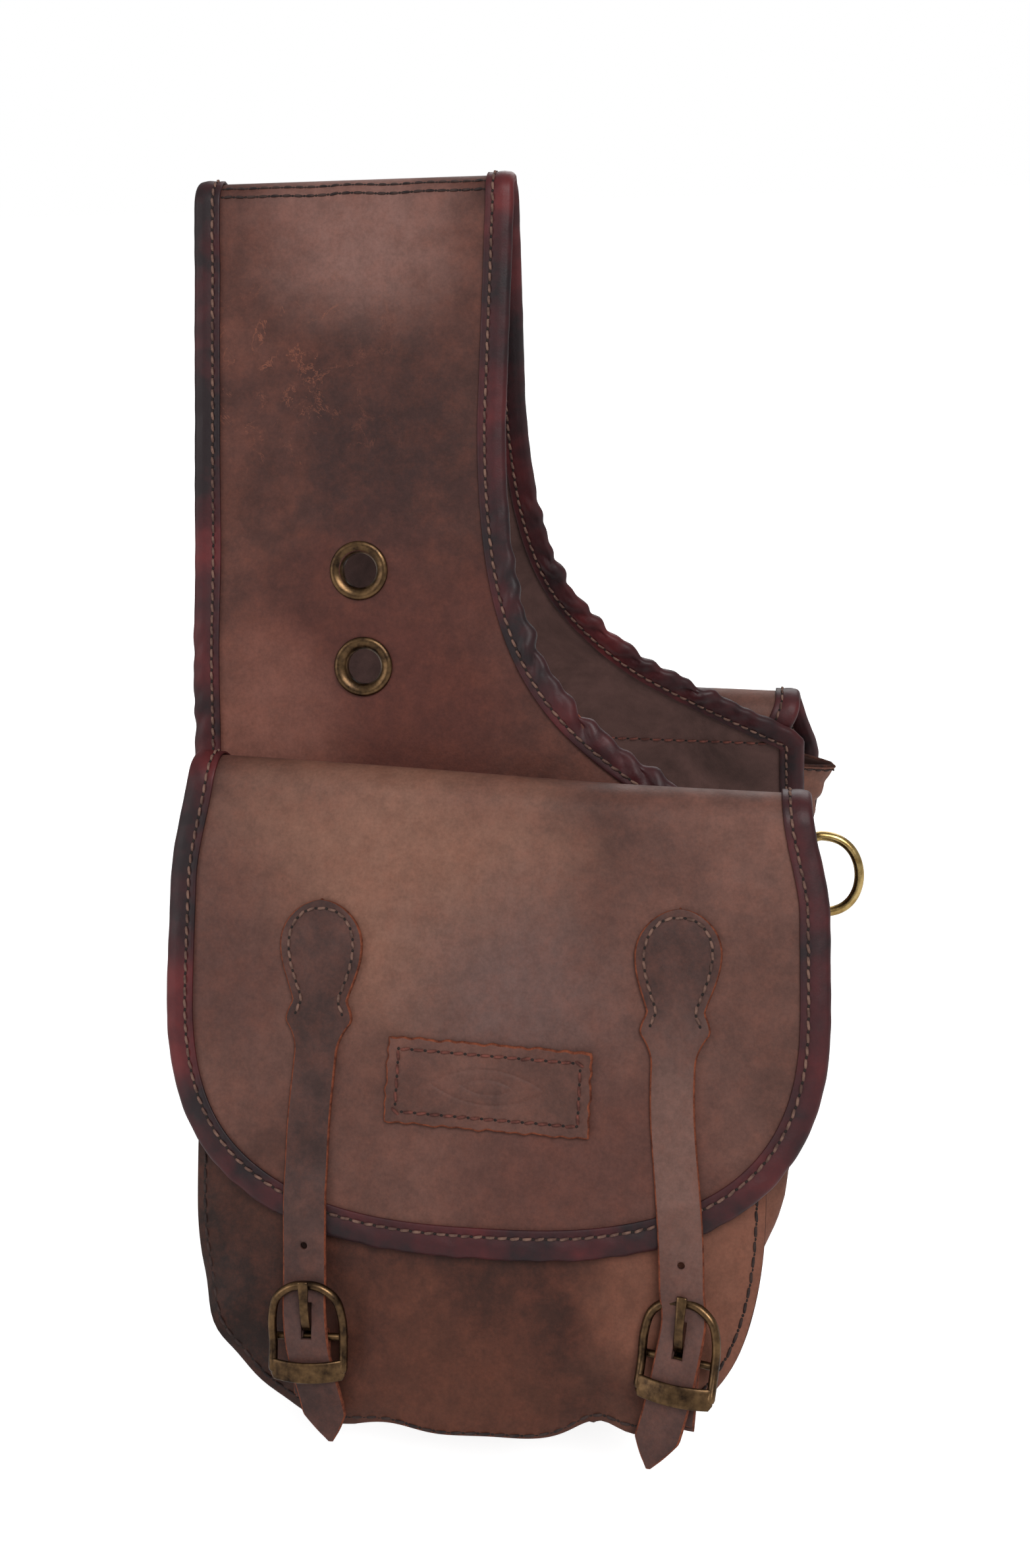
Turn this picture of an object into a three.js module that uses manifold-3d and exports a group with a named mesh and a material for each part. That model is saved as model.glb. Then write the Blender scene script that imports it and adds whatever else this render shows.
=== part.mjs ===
// A pair of leather saddle bags joined by a yoke, hanging over a peg at the fold of the yoke.
// Millimetres, +Z up. The origin is the middle of the fold's underside. X runs along the fold,
// the front bag hangs at -Y and the rear bag, its mirror image, at +Y.
//
// Each half is drawn in its own frame, which turns about the fold axis: u runs along the fold,
// h is the distance below the fold axis and n the distance outwards from the panel's inner face.
import * as THREE from 'three';
import { mergeVertices } from 'three/addons/utils/BufferGeometryUtils.js';
import Module from 'manifold-3d';

const wasm = await Module();
wasm.setup();

// ---- Driving dimensions ----------------------------------------------------------------------
const GAP = 0.3; // clearance between neighbouring pieces
const LEATHER = 2.4; // panel and flap thickness
const STRAP_LEATHER = 2.2;
const CHAPE_LEATHER = 1.6;
const BINDING_LEATHER = 1.2;
const BINDING_WIDTH = 12;

const PEG_RADIUS = 5.3; // inner radius of the rear panel where it bends over the peg
const REAR_TILT = 16.2; // degrees each half leans out from vertical
const FRONT_TILT = 12.6;

const YOKE_LEFT = -72; // outer edges of the yoke, over its binding
const YOKE_RIGHT = 72;
const SCOOP = new THREE.CubicBezierCurve( // the cut-away between yoke and bag, in (u, h)
  new THREE.Vector2(68, 100),
  new THREE.Vector2(68, 215),
  new THREE.Vector2(94, 230),
  new THREE.Vector2(192, 283),
);
const BACK = { centre: 62.5, half: 134.5, knee: 325, bottom: 515, power: 2.5 };
const POUCH = { centre: 60.5, half: 118, knee: 395, bottom: 515, power: 3.2 };
const MOUTH = 307; // top edge of the pouch front and the gusset
const POUCH_EDGE_DROP = 8; // how far the pouch front falls back at its seam
const GUSSET_LEATHER = 2;
const GUSSET_INSET = 8; // from the edge of the back panel to the gusset's seam
const STRAIGHT_SIDE = 0.18; // share of the way round the gusset that each straight side takes

const FLAP = { centre: 66.5, half: 138.5, shoulder: 34, knee: 335, bottom: 440, power: 2.6 };
const FLAP_HINGE_N = 19; // the axis that the flap bends about, outwards from the panel
const FLAP_BEND = 14.2; // middle radius of the flap at its crest
const ROOT_BEND = 11.4; // middle radius of the root strip inside it
const FLAP_START = 42; // degrees above level where the moving flap begins; the root strip laps under it
const ROOT_STOP = 22;
const ROOT_INSET = 15; // the root strip is this much narrower than the crest at each end

const EYELETS = { upper: [3, 163], lower: [5, 205] };
const EYELET_HOLE = 7.6;
const EYELET_BARREL = 8.2;
const EYELET_FLANGE = 13;

const STRAPS = { left: -5, right: 145 };
const STRAP_TOP = 300;
const STRAP_TIP = 512;
const STRAP_HOLE = 437;
const STRAP_HALF = 8.3;
const HEAD = { half: 17, widest: 318, end: 341 };
const NECK = { half: 11, lobe: 13.6, lobeAt: 349, end: 362 };
const TIP_LENGTH = 13;
const TIP_HALF = 1.5;
const PRONG_SLOT = 4.4;
const BAR_H = 474; // the buckle's bar
const BAR_LIFT = 2.4; // bar centre above the middle of the pouch front, which falls away at the bar
const BAR_RADIUS = 1.5;
const CHAPE_HALF = 7.5;
const WIRE_RADIUS = 1.8;
const FRAME_HALF = 14.6;
const KEEPER = { half: FRAME_HALF + 0.8, height: 7.2, bow: 2.8, top: 7, bottom: 15.2, thickness: 1.6 };
const PRONG_WIDTH = 3;

const RING_WIRE = 2;
const RING_AT = { u: 197.5, n: 8.1, h: 290 };
const RING_HALF_HEIGHT = 14.5;
const RING_REACH = 20;
const TAB_HALF = 6.5; // of the leather loop that holds the ring
const RING_CORNER = 2.6; // the bow starts this far from the straight side

const PATCH = { u: 67, h: 373, width: 83, height: 33, turn: 2.5, thickness: 1.8 };

// ---- Materials -------------------------------------------------------------------------------
const finish = (color, roughness, metalness = 0) =>
  new THREE.MeshStandardMaterial({ color, roughness, metalness });
const YOKE_BROWN = finish(0x5c3226, 0.55);
const FLAP_BROWN = finish(0x62402f, 0.6);
const POUCH_BROWN = finish(0x5a3625, 0.6);
const STRAP_BROWN = finish(0x4a2a1e, 0.55);
const BURGUNDY = finish(0x35121a, 0.3);
const BRASS = finish(0x8c6f3c, 0.35, 0.9);

// ---- Solids ----------------------------------------------------------------------------------
const point = (u, n, h) => new THREE.Vector3(u, n, h);

function solid(vertices, faces) {
  const numbers = vertices.flatMap((v) => [v.x, v.y, v.z]);
  const geometry = new THREE.BufferGeometry();
  geometry.setAttribute('position', new THREE.Float32BufferAttribute(numbers, 3));
  geometry.setIndex(faces.flat());
  return geometry;
}

// Rings of points, one ring for each step along a sweep, joined into a closed surface.
function skin(rings, closed = false) {
  const size = rings[0].length;
  const faces = [];
  const steps = closed ? rings.length : rings.length - 1;
  for (let i = 0; i < steps; i++) {
    const a = i * size;
    const b = ((i + 1) % rings.length) * size;
    for (let j = 0; j < size; j++) {
      const k = (j + 1) % size;
      faces.push([a + j, a + k, b + k], [a + j, b + k, b + j]);
    }
  }
  return { vertices: rings.flat(), faces, size };
}

// A sheet of leather: a grid of points on its middle surface, thickened both ways.
function sheet(grid, thickness) {
  const rows = grid.length;
  const cols = grid[0].length;
  const across = new THREE.Vector3();
  const along = new THREE.Vector3();
  const offset = (i, j, side) => {
    across.subVectors(grid[i][Math.min(j + 1, cols - 1)], grid[i][Math.max(j - 1, 0)]);
    along.subVectors(grid[Math.min(i + 1, rows - 1)][j], grid[Math.max(i - 1, 0)][j]);
    const normal = along.clone().cross(across).normalize();
    return grid[i][j].clone().addScaledVector(normal, (side * thickness) / 2);
  };
  const rings = grid.map((row, i) => {
    const outer = row.map((_, j) => offset(i, j, 1));
    const inner = row.map((_, j) => offset(i, j, -1));
    return [...outer, ...inner.reverse()];
  });
  const { vertices, faces, size } = skin(rings);
  const last = (rings.length - 1) * size;
  for (let j = 0; j < cols - 1; j++) {
    const [a, b, c, d] = [j, j + 1, size - 2 - j, size - 1 - j];
    faces.push([a, c, b], [a, d, c], [last + a, last + b, last + c], [last + a, last + c, last + d]);
  }
  return solid(vertices, faces);
}

// A channel swept along an edge: eight section points, so the ends are three quads each.
function channel(rings) {
  const { vertices, faces, size } = skin(rings);
  const last = (rings.length - 1) * size;
  for (const [a, b, c, d] of [[0, 1, 6, 7], [1, 2, 5, 6], [2, 3, 4, 5]]) {
    faces.push([a, c, b], [a, d, c], [last + a, last + b, last + c], [last + a, last + c, last + d]);
  }
  return solid(vertices, faces);
}

// A round wire along a smooth path. An open one is closed by a fan at each end.
function wire(path, radius, sides, closed) {
  const count = path.length;
  const rings = path.map((p, i) => {
    const before = closed ? path[(i + count - 1) % count] : path[Math.max(i - 1, 0)];
    const after = closed ? path[(i + 1) % count] : path[Math.min(i + 1, count - 1)];
    const tangent = after.clone().sub(before).normalize();
    const side = new THREE.Vector3(0, 1, 0).cross(tangent).normalize();
    const lift = tangent.clone().cross(side);
    return Array.from({ length: sides }, (_, j) => {
      const angle = (-j / sides) * 2 * Math.PI;
      const spot = p.clone().addScaledVector(side, radius * Math.cos(angle));
      return spot.addScaledVector(lift, radius * Math.sin(angle));
    });
  });
  const { vertices, faces, size } = skin(rings, closed);
  const last = (rings.length - 1) * size;
  for (let j = 1; !closed && j < sides - 1; j++) {
    faces.push([0, j + 1, j], [last, last + j, last + j + 1]);
  }
  return solid(vertices, faces);
}

function outward(geometry) {
  const p = geometry.attributes.position;
  const f = geometry.index.array;
  const [a, b, c] = [new THREE.Vector3(), new THREE.Vector3(), new THREE.Vector3()];
  let volume = 0;
  for (let i = 0; i < f.length; i += 3) {
    a.fromBufferAttribute(p, f[i]);
    b.fromBufferAttribute(p, f[i + 1]);
    c.fromBufferAttribute(p, f[i + 2]);
    volume += a.dot(b.cross(c));
  }
  if (volume < 0) {
    for (let i = 0; i < f.length; i += 3) [f[i], f[i + 1]] = [f[i + 1], f[i]];
  }
  return geometry;
}

function merged(geometry) {
  const bare = geometry.clone();
  bare.deleteAttribute('normal');
  bare.deleteAttribute('uv');
  return outward(mergeVertices(bare, 1e-4));
}

function toManifold(geometry) {
  const ready = merged(geometry);
  return new wasm.Manifold(
    new wasm.Mesh({
      numProp: 3,
      vertProperties: new Float32Array(ready.attributes.position.array),
      triVerts: new Uint32Array(ready.index.array),
    }),
  );
}

function fromManifold(manifold) {
  const { vertProperties, triVerts } = manifold.getMesh();
  const geometry = new THREE.BufferGeometry();
  geometry.setAttribute('position', new THREE.BufferAttribute(vertProperties.slice(), 3));
  geometry.setIndex(new THREE.BufferAttribute(triVerts.slice(), 1));
  return geometry;
}

const join = (...pieces) =>
  fromManifold(pieces.map(toManifold).reduce((sum, piece) => sum.add(piece)));
const cut = (piece, ...tools) =>
  fromManifold(tools.map(toManifold).reduce((left, tool) => left.subtract(tool), toManifold(piece)));

// ---- Outlines and side-view tracks -----------------------------------------------------------
const range = (count, from, to) =>
  Array.from({ length: count + 1 }, (_, i) => from + ((to - from) * i) / count);
const bottomSweep = (count) => range(count, 0, Math.PI / 2).map((a) => Math.sin(a));

// Half width of a bag outline: straight down to the knee, then a superellipse to the bottom.
function halfWidth(shape, h) {
  const v = Math.min(Math.max((h - shape.knee) / (shape.bottom - shape.knee), 0), 1);
  return shape.half * (1 - v ** shape.power) ** (1 / shape.power);
}

const HALVINGS = 40;
function scoopEdge(h) {
  if (h <= SCOOP.v0.y) return YOKE_RIGHT + ((SCOOP.v0.x - YOKE_RIGHT) * Math.max(h, 0)) / SCOOP.v0.y;
  let [low, high] = [0, 1];
  for (let i = 0; i < HALVINGS; i++) {
    const middle = (low + high) / 2;
    if (SCOOP.getPoint(middle).y < h) low = middle;
    else high = middle;
  }
  return SCOOP.getPoint(low).x;
}

const SCOOP_END = SCOOP.v3.y;
const SIDE_TOP = SCOOP_END + 4; // the corner between the scoop and the side
const backLeft = (h) => (h < BACK.knee ? YOKE_LEFT : BACK.centre - halfWidth(BACK, h));
function backRight(h) {
  if (h <= SCOOP_END) return scoopEdge(h);
  if (h < SIDE_TOP) return scoopEdge(SCOOP_END) + h - SCOOP_END;
  return BACK.centre + halfWidth(BACK, h);
}

// How far an edge moves sideways at h when its leather is trimmed back square to the edge.
const TRIM = 2.3; // leather ends this far inside the outer edge of its binding
function trim(edge, h) {
  const slope = edge(h + 0.5) - edge(h - 0.5);
  return TRIM * Math.hypot(1, slope);
}

// A track is a smooth line in side view, as [h, n] points. at(s) gives the point and its normal.
function track(points) {
  const spots = points.map(([h, n]) => new THREE.Vector2(h, n));
  const lengths = [0];
  for (let i = 1; i < spots.length; i++) lengths.push(lengths[i - 1] + spots[i].distanceTo(spots[i - 1]));
  const direction = (i) => {
    const a = spots[Math.max(i - 1, 0)];
    const b = spots[Math.min(i + 1, spots.length - 1)];
    return b.clone().sub(a).normalize();
  };
  const at = (s) => {
    let i = 0;
    while (i < lengths.length - 2 && s > lengths[i + 1]) i++;
    const t = (s - lengths[i]) / (lengths[i + 1] - lengths[i]);
    const d = direction(i).lerp(direction(i + 1), Math.min(Math.max(t, 0), 1)).normalize();
    const p = spots[i].clone().lerp(spots[i + 1], t);
    return { h: p.x, n: p.y, normal: new THREE.Vector2(-d.y, d.x) };
  };
  return { at, lengths, length: lengths.at(-1) };
}

// The point at u across a track, s along it and lift above it.
function onTrack(line, u, s, lift = 0) {
  const { h, n, normal } = line.at(s);
  return point(u, n + lift * normal.y, h + lift * normal.x);
}

// A strip of leather along a track, whose two edges are functions of the distance along it.
function strip(line, stations, left, right, thickness, cols = 1, lift = () => 0) {
  const across = (s, t) => left(s) + (right(s) - left(s)) * t;
  const row = (s) => range(cols, 0, 1).map((t) => onTrack(line, across(s, t), s, lift(s, t)));
  return sheet(stations.map(row), thickness);
}

const arc = (count, centre, radius, from, to) =>
  range(count, from, to).map((degrees) => {
    const angle = THREE.MathUtils.degToRad(degrees);
    return [centre[0] - radius * Math.sin(angle), centre[1] + radius * Math.cos(angle)];
  });

function curve(points, count) {
  const spline = new THREE.SplineCurve(points.map(([h, n]) => new THREE.Vector2(h, n)));
  return spline.getSpacedPoints(count).map((p) => [p.x, p.y]);
}

// The middle of the flap below its crest, and of the pouch front, which lies just behind it.
const FLAP_FRONT = [[290, 37.6], [320, 41.5], [360, 45.8], [400, 50.9], [442, 55.9]];
const POUCH_FRONT = [[MOUTH, 35.6], [350, 40.5], [400, 46.5], [442, 51.5], [480, 56], [515, 58.5]];
const pouchTrack = track(curve(POUCH_FRONT, 16));
const pouchAt = (h) => pouchTrack.at(h - MOUTH);

// ---- Panel and its binding -------------------------------------------------------------------
const BEND_STEP = 12; // degrees of the fold between stations
const bendSteps = (lapAngle) => Math.ceil(lapAngle / BEND_STEP);

function panelTrack(radius, lapAngle) {
  const middle = LEATHER / 2;
  const bend = arc(bendSteps(lapAngle), [0, -radius], radius + middle, lapAngle, 0).slice(0, -1);
  const line = track([...bend, [0, middle], [BACK.bottom, middle]]);
  return { line, bend: THREE.MathUtils.degToRad(lapAngle) * (radius + middle) };
}

const SCOOP_H = [100, 125, 145, 162, 178, 192, 204, 215, 225, 235, 245, 255, 265, 275, SCOOP_END];
const PANEL_H = [0, 50, ...SCOOP_H, SIDE_TOP, BACK.knee];
const bottomRows = (shape, count) =>
  bottomSweep(count).slice(1).map((v) => shape.knee + v * (shape.bottom - TRIM - 1 - shape.knee));

function panel(half) {
  const { line, bend } = panelTrack(half.radius, half.lapAngle);
  const bendRows = range(bendSteps(half.lapAngle), 0, bend).slice(0, -1);
  const stations = [...bendRows, ...[...PANEL_H, ...bottomRows(BACK, 9)].map((h) => bend + h)];
  const straight = (edge, s, side) => edge(s - bend) - side * trim(edge, s - bend);
  const onBend = (s) => s < bend - 0.01;
  const left = (s) => (onBend(s) ? -half.lapTrim : straight(backLeft, s, -1));
  const right = (s) => (onBend(s) ? half.lapTrim : straight(backRight, s, 1));
  const leather = strip(line, stations, left, right, LEATHER);
  const holes = Object.values(EYELETS).map(([u, h]) => {
    const radius = EYELET_BARREL + GAP;
    return new THREE.CylinderGeometry(radius, radius, 4 * LEATHER, 24).translate(u, LEATHER / 2, h);
  });
  return cut(leather, ...holes);
}

// Outline points in (u, h) with the direction that points inwards along the leather.
function inwards(outline) {
  return outline.map(([u, h], i) => {
    const a = outline[Math.max(i - 1, 0)];
    const b = outline[Math.min(i + 1, outline.length - 1)];
    const length = Math.hypot(b[0] - a[0], b[1] - a[1]);
    return { u, h, du: (b[1] - a[1]) / length, dh: -(b[0] - a[0]) / length };
  });
}

// A folded strip round an edge: its section is a channel, open inwards.
function binding(outline, place) {
  const reach = LEATHER / 2 + GAP;
  const wrap = reach + BINDING_LEATHER;
  const section = [
    [BINDING_WIDTH, -wrap], [0, -wrap], [0, wrap], [BINDING_WIDTH, wrap],
    [BINDING_WIDTH, reach], [BINDING_LEATHER, reach], [BINDING_LEATHER, -reach], [BINDING_WIDTH, -reach],
  ];
  const rings = inwards(outline).map(({ u, h, du, dh }) =>
    section.map(([e, lift]) => place(u + du * e, h + dh * e, lift)),
  );
  return channel(rings);
}

// The round bottom of an outline as (u, h) points, from just after one knee to just before the other.
const roundBottom = (shape, count) =>
  range(count, -Math.PI / 2, Math.PI / 2).slice(1, -1).map((a) => {
    const u = Math.sign(a) * Math.abs(Math.sin(a)) ** (2 / shape.power);
    const v = Math.abs(Math.cos(a)) ** (2 / shape.power);
    return [shape.centre + u * shape.half, shape.knee + v * (shape.bottom - shape.knee)];
  });

// The front binding runs up over the fold; the rear one starts just below it.
function edgeBinding(half) {
  const bend = THREE.MathUtils.degToRad(half.bindAngle) * (half.radius + LEATHER / 2);
  const below = panelTrack(half.radius, Math.max(half.bindAngle, 1));
  const rows = [...range(half.bindAngle ? 6 : 1, -bend, 0).slice(0, -1), 2, ...PANEL_H.slice(1)];
  const sides = rows.filter((h) => h <= SCOOP.v0.y || h >= SCOOP_END);
  const outline = [
    ...sides.map((h) => [backLeft(h), h]),
    ...roundBottom(BACK, 18),
    ...[...rows].reverse().map((h) => [backRight(h), h]),
  ];
  return binding(outline, (u, h, lift) => onTrack(below.line, u, below.bend + h, lift));
}

// ---- Pouch -----------------------------------------------------------------------------------
// The pouch front is nearly flat in the middle and falls back towards its seam all the way round.
function pouchFront() {
  const rows = [MOUTH, 330, 355, POUCH.knee, ...bottomRows(POUCH, 7)];
  const stretch = pouchTrack.length / (POUCH.bottom - MOUTH);
  const toH = (s) => MOUTH + s / stretch;
  const drop = (s, t) => {
    const across = Math.abs(2 * t - 1) * (halfWidth(POUCH, toH(s)) / POUCH.half);
    const down = Math.max((toH(s) - POUCH.knee) / (POUCH.bottom - POUCH.knee), 0);
    return -POUCH_EDGE_DROP * (across ** POUCH.power + down ** POUCH.power) ** (5 / POUCH.power);
  };
  const left = (s) => POUCH.centre - halfWidth(POUCH, toH(s));
  const right = (s) => POUCH.centre + halfWidth(POUCH, toH(s));
  return strip(pouchTrack, rows.map((h) => (h - MOUTH) * stretch), left, right, LEATHER, 8, drop);
}

// A point on a bag outline: t = 0 is the left of the mouth, 0.5 the bottom and 1 the right.
function around(shape, inset, t) {
  const sign = t < 0.5 ? -1 : 1;
  const half = shape.half - inset;
  const fromMouth = t < 0.5 ? t : 1 - t;
  const down = fromMouth / STRAIGHT_SIDE;
  if (down < 1) return [shape.centre + sign * half, MOUTH + (shape.knee - MOUTH) * down];
  const angle = ((fromMouth - STRAIGHT_SIDE) / (0.5 - STRAIGHT_SIDE)) * (Math.PI / 2);
  const power = 2 / shape.power;
  const deep = shape.bottom - inset - shape.knee;
  const u = shape.centre + sign * half * Math.cos(angle) ** power;
  return [u, shape.knee + deep * Math.sin(angle) ** power];
}

// The gusset runs straight from its seam on the back panel to its seam on the pouch front.
function gusset() {
  const foot = LEATHER + BINDING_LEATHER + 5 * GAP;
  const grid = range(26, 0, 1).map((t) => {
    const [backU, backH] = around(BACK, GUSSET_INSET, t);
    const [frontU, frontH] = around(POUCH, GUSSET_LEATHER, t);
    const depth = pouchAt(frontH).n - POUCH_EDGE_DROP - LEATHER / 2 - 3 * GAP;
    return [point(frontU, depth, frontH), point(backU, foot, backH)];
  });
  return sheet(grid, GUSSET_LEATHER);
}

// ---- Flap ------------------------------------------------------------------------------------
function flapTrack(hingeH) {
  const below = FLAP_FRONT.filter(([h]) => h > hingeH + 15);
  const front = curve([[hingeH, FLAP_HINGE_N + FLAP_BEND], ...below], 16).slice(1);
  return track([...arc(6, [hingeH, FLAP_HINGE_N], FLAP_BEND, FLAP_START, 0), ...front]);
}

const BEND_LENGTH = THREE.MathUtils.degToRad(FLAP_START) * FLAP_BEND;
const FLAP_STRETCH = 1.008; // length along the flap for each unit of height
const flapLengthTo = (hingeH, h) => BEND_LENGTH + (h - hingeH) * FLAP_STRETCH;

// The flap widens from its crest to its shoulder, and then has a bag's outline.
function flapHalf(half, s) {
  const shoulder = BEND_LENGTH + FLAP.shoulder;
  if (s > shoulder) return halfWidth(FLAP, half.flapHinge + (s - BEND_LENGTH) / FLAP_STRETCH);
  return half.crestHalf + (FLAP.half - half.crestHalf) * THREE.MathUtils.smoothstep(s, 0, shoulder);
}

function flapRows(hingeH) {
  const heights = [hingeH + FLAP.shoulder / 2, hingeH + FLAP.shoulder, FLAP.knee, ...bottomRows(FLAP, 9)];
  return [...range(4, 0, BEND_LENGTH), ...heights.map((h) => flapLengthTo(hingeH, h))];
}

function flap(half) {
  const outer = (s) => flapHalf(half, s);
  const left = (s) => FLAP.centre - outer(s) + trim(outer, s);
  const right = (s) => FLAP.centre + outer(s) - trim(outer, s);
  return strip(flapTrack(half.flapHinge), flapRows(half.flapHinge), left, right, LEATHER);
}

function flapBinding(half) {
  const line = flapTrack(half.flapHinge);
  const knee = flapLengthTo(half.flapHinge, FLAP.knee);
  const rows = flapRows(half.flapHinge).filter((s) => s <= knee);
  const outline = [
    ...rows.map((s) => [FLAP.centre - flapHalf(half, s), s]),
    ...roundBottom(FLAP, 16).map(([u, h]) => [u, flapLengthTo(half.flapHinge, h)]),
    ...[...rows].reverse().map((s) => [FLAP.centre + flapHalf(half, s), s]),
  ];
  return binding(outline, (u, s, lift) => onTrack(line, u, s, lift));
}

// The end of the flap leather that is sewn flat to the panel and rises into the bend.
function flapRoot(half) {
  const foot = LEATHER + BINDING_LEATHER + 2 * GAP + LEATHER / 2;
  const bend = arc(8, [half.flapHinge, FLAP_HINGE_N], ROOT_BEND, 172, ROOT_STOP);
  const line = track([[half.rootEnd, foot], [half.flapHinge + 7, foot + 0.8], ...bend]);
  const edge = half.crestHalf - ROOT_INSET;
  return strip(line, line.lengths, () => FLAP.centre + edge, () => FLAP.centre - edge, LEATHER);
}

// ---- Latch straps and buckles ----------------------------------------------------------------
const BAR_N = pouchAt(BAR_H).n + LEATHER / 2 + BAR_LIFT;

function strapTrack(half) {
  const flapLine = flapTrack(half.flapHinge);
  const over = LEATHER / 2 + GAP + STRAP_LEATHER / 2;
  const overBinding = over + BINDING_LEATHER + 0.6;
  const onFlap = (h, lift) => [h, flapLine.at(flapLengthTo(half.flapHinge, h)).n + lift];
  const nearBar = (below, lift) => [BAR_H + below, BAR_N + lift];
  return track(curve([
    onFlap(STRAP_TOP, over + 0.2), onFlap(320, over + 0.1), onFlap(340, over), onFlap(380, over),
    onFlap(405, over + 0.3), onFlap(415, overBinding), onFlap(434, overBinding),
    nearBar(-28, 1), nearBar(-20, 1.3), nearBar(-12, 2.9), nearBar(0, 5),
    nearBar(10, 3.9), nearBar(23, 0.8), [STRAP_TIP, BAR_N - 0.8],
  ], 54));
}

// Half width along the strap: a spade-shaped sewn head, a neck with two lobes, then the tail.
function strapHalf(h) {
  const ease = (from, to, start, end, shape) => {
    const angle = (Math.min(Math.max((h - from) / (to - from), 0), 1) * Math.PI) / 2;
    return start + (end - start) * shape(angle);
  };
  if (h < HEAD.widest) return ease(STRAP_TOP, HEAD.widest, TIP_HALF, HEAD.half, (a) => Math.sin(a) ** 0.8);
  if (h < HEAD.end) return ease(HEAD.widest, HEAD.end, NECK.half, HEAD.half, (a) => Math.cos(a) ** 1.2);
  if (h < NECK.lobeAt) return ease(HEAD.end, NECK.lobeAt, NECK.half, NECK.lobe, Math.sin);
  if (h < NECK.end) return ease(NECK.lobeAt, NECK.end, NECK.lobe, STRAP_HALF, Math.sin);
  return ease(STRAP_TIP - TIP_LENGTH, STRAP_TIP, TIP_HALF, STRAP_HALF, (a) => Math.cos(a) ** 0.6);
}

function strap(u, half) {
  const line = strapTrack(half);
  const plain = (s) => line.at(s).h > NECK.end + 3 && line.at(s).h < STRAP_HOLE - 7;
  const stations = range(50, 0, line.length).filter((s, i) => !plain(s) || i % 3 === 0);
  const reach = (s) => strapHalf(line.at(s).h);
  const leather = strip(line, stations, (s) => u - reach(s), (s) => u + reach(s), STRAP_LEATHER);
  const slot = new THREE.BoxGeometry(PRONG_SLOT, 14, 14).translate(u, BAR_N + 4, BAR_H - 8);
  const hole = new THREE.CylinderGeometry(1.5, 1.5, 14, 12).translate(u, BAR_N, STRAP_HOLE);
  return cut(leather, slot, hole);
}

function chape(u) {
  const radius = BAR_RADIUS + GAP + CHAPE_LEATHER / 2;
  const loop = arc(12, [BAR_H, BAR_N], radius, 180, 0);
  const nearBar = (below, lift) => [BAR_H + below, BAR_N + lift];
  const under = [nearBar(26, -4.2), nearBar(13, -3.3), nearBar(6, -radius - 0.1)];
  const over = [nearBar(6, 1.4), nearBar(13, -1.2), nearBar(24, -2.1)];
  const line = track([...under, ...loop, ...over]);
  const leather = strip(line, line.lengths, () => u + CHAPE_HALF, () => u - CHAPE_HALF, CHAPE_LEATHER);
  const slot = new THREE.BoxGeometry(PRONG_SLOT, 10, 12).translate(u, BAR_N, BAR_H - 2.5);
  return cut(leather, slot);
}

// Half of the buckle's arch, from its foot to beside its top: (across, out from the bar, down).
const ARCH = [
  [FRAME_HALF, 4.4, 11], [FRAME_HALF, 2.6, 2], [FRAME_HALF, 3, -8],
  [FRAME_HALF - 2.2, 4, -16.5], [6.5, 4.4, -21.2],
];

function archWire() {
  const leg = (side) => ARCH.map(([over, out, down]) => point(side * over, BAR_N + out, BAR_H + down));
  const top = point(0, BAR_N + 4.4, BAR_H - 22.2);
  const path = new THREE.CatmullRomCurve3([...leg(-1), top, ...leg(1).reverse()]);
  return wire(path.getSpacedPoints(22), WIRE_RADIUS, 6, false);
}

// The flat cross piece, bowed outwards, that holds the strap below the bar.
function keeper() {
  const { half, height, bow, top, bottom, thickness } = KEEPER;
  const grid = range(8, -1, 1).map((t) => {
    const n = BAR_N + height - bow * t * t;
    return [point(t * half, n, BAR_H + top), point(t * half, n, BAR_H + bottom)];
  });
  return sheet(grid, thickness);
}

function buckleFrame(u) {
  const bar = new THREE.CylinderGeometry(BAR_RADIUS, BAR_RADIUS, 2 * FRAME_HALF, 12);
  bar.rotateZ(Math.PI / 2).translate(0, BAR_N, BAR_H);
  const post = new THREE.CylinderGeometry(BAR_RADIUS, BAR_RADIUS, 3.4, 8);
  const posts = [-1, 1].map((side) => post.clone().translate(side * FRAME_HALF, BAR_N + 1, BAR_H));
  return join(archWire(), bar, ...posts, keeper()).translate(u, 0, 0);
}

// The prong's blade, as (towards the arch, out from the bar) points after its round eye.
const BLADE = [[8, 4.2], [14, 6.2], [24.5, 7], [24.5, 8.6], [13, 8.4], [6, 6.2]];

function prong(u) {
  const shape = new THREE.Shape();
  const [open, close] = [60, 370].map(THREE.MathUtils.degToRad);
  shape.absarc(0, 0, BAR_RADIUS + GAP + 1.5, open, close, false);
  for (const [along, out] of BLADE) shape.lineTo(along, out);
  const hole = new THREE.Path();
  hole.absarc(0, 0, BAR_RADIUS + GAP, 0, 2 * Math.PI, true);
  shape.holes.push(hole);
  const settings = { depth: PRONG_WIDTH, bevelEnabled: false, curveSegments: 10 };
  const blade = new THREE.ExtrudeGeometry(shape, settings).translate(0, 0, -PRONG_WIDTH / 2);
  const turn = new THREE.Matrix4().set(0, 0, 1, u, 0, 1, 0, BAR_N, -1, 0, 0, BAR_H, 0, 0, 0, 1);
  return blade.applyMatrix4(turn);
}

// ---- Eyelets, ring, patch --------------------------------------------------------------------
function lathed(profile, u, h) {
  const outline = profile.map(([r, n]) => new THREE.Vector2(r, n));
  return new THREE.LatheGeometry([...outline, outline[0]], 18).translate(u, 0, h);
}

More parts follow.
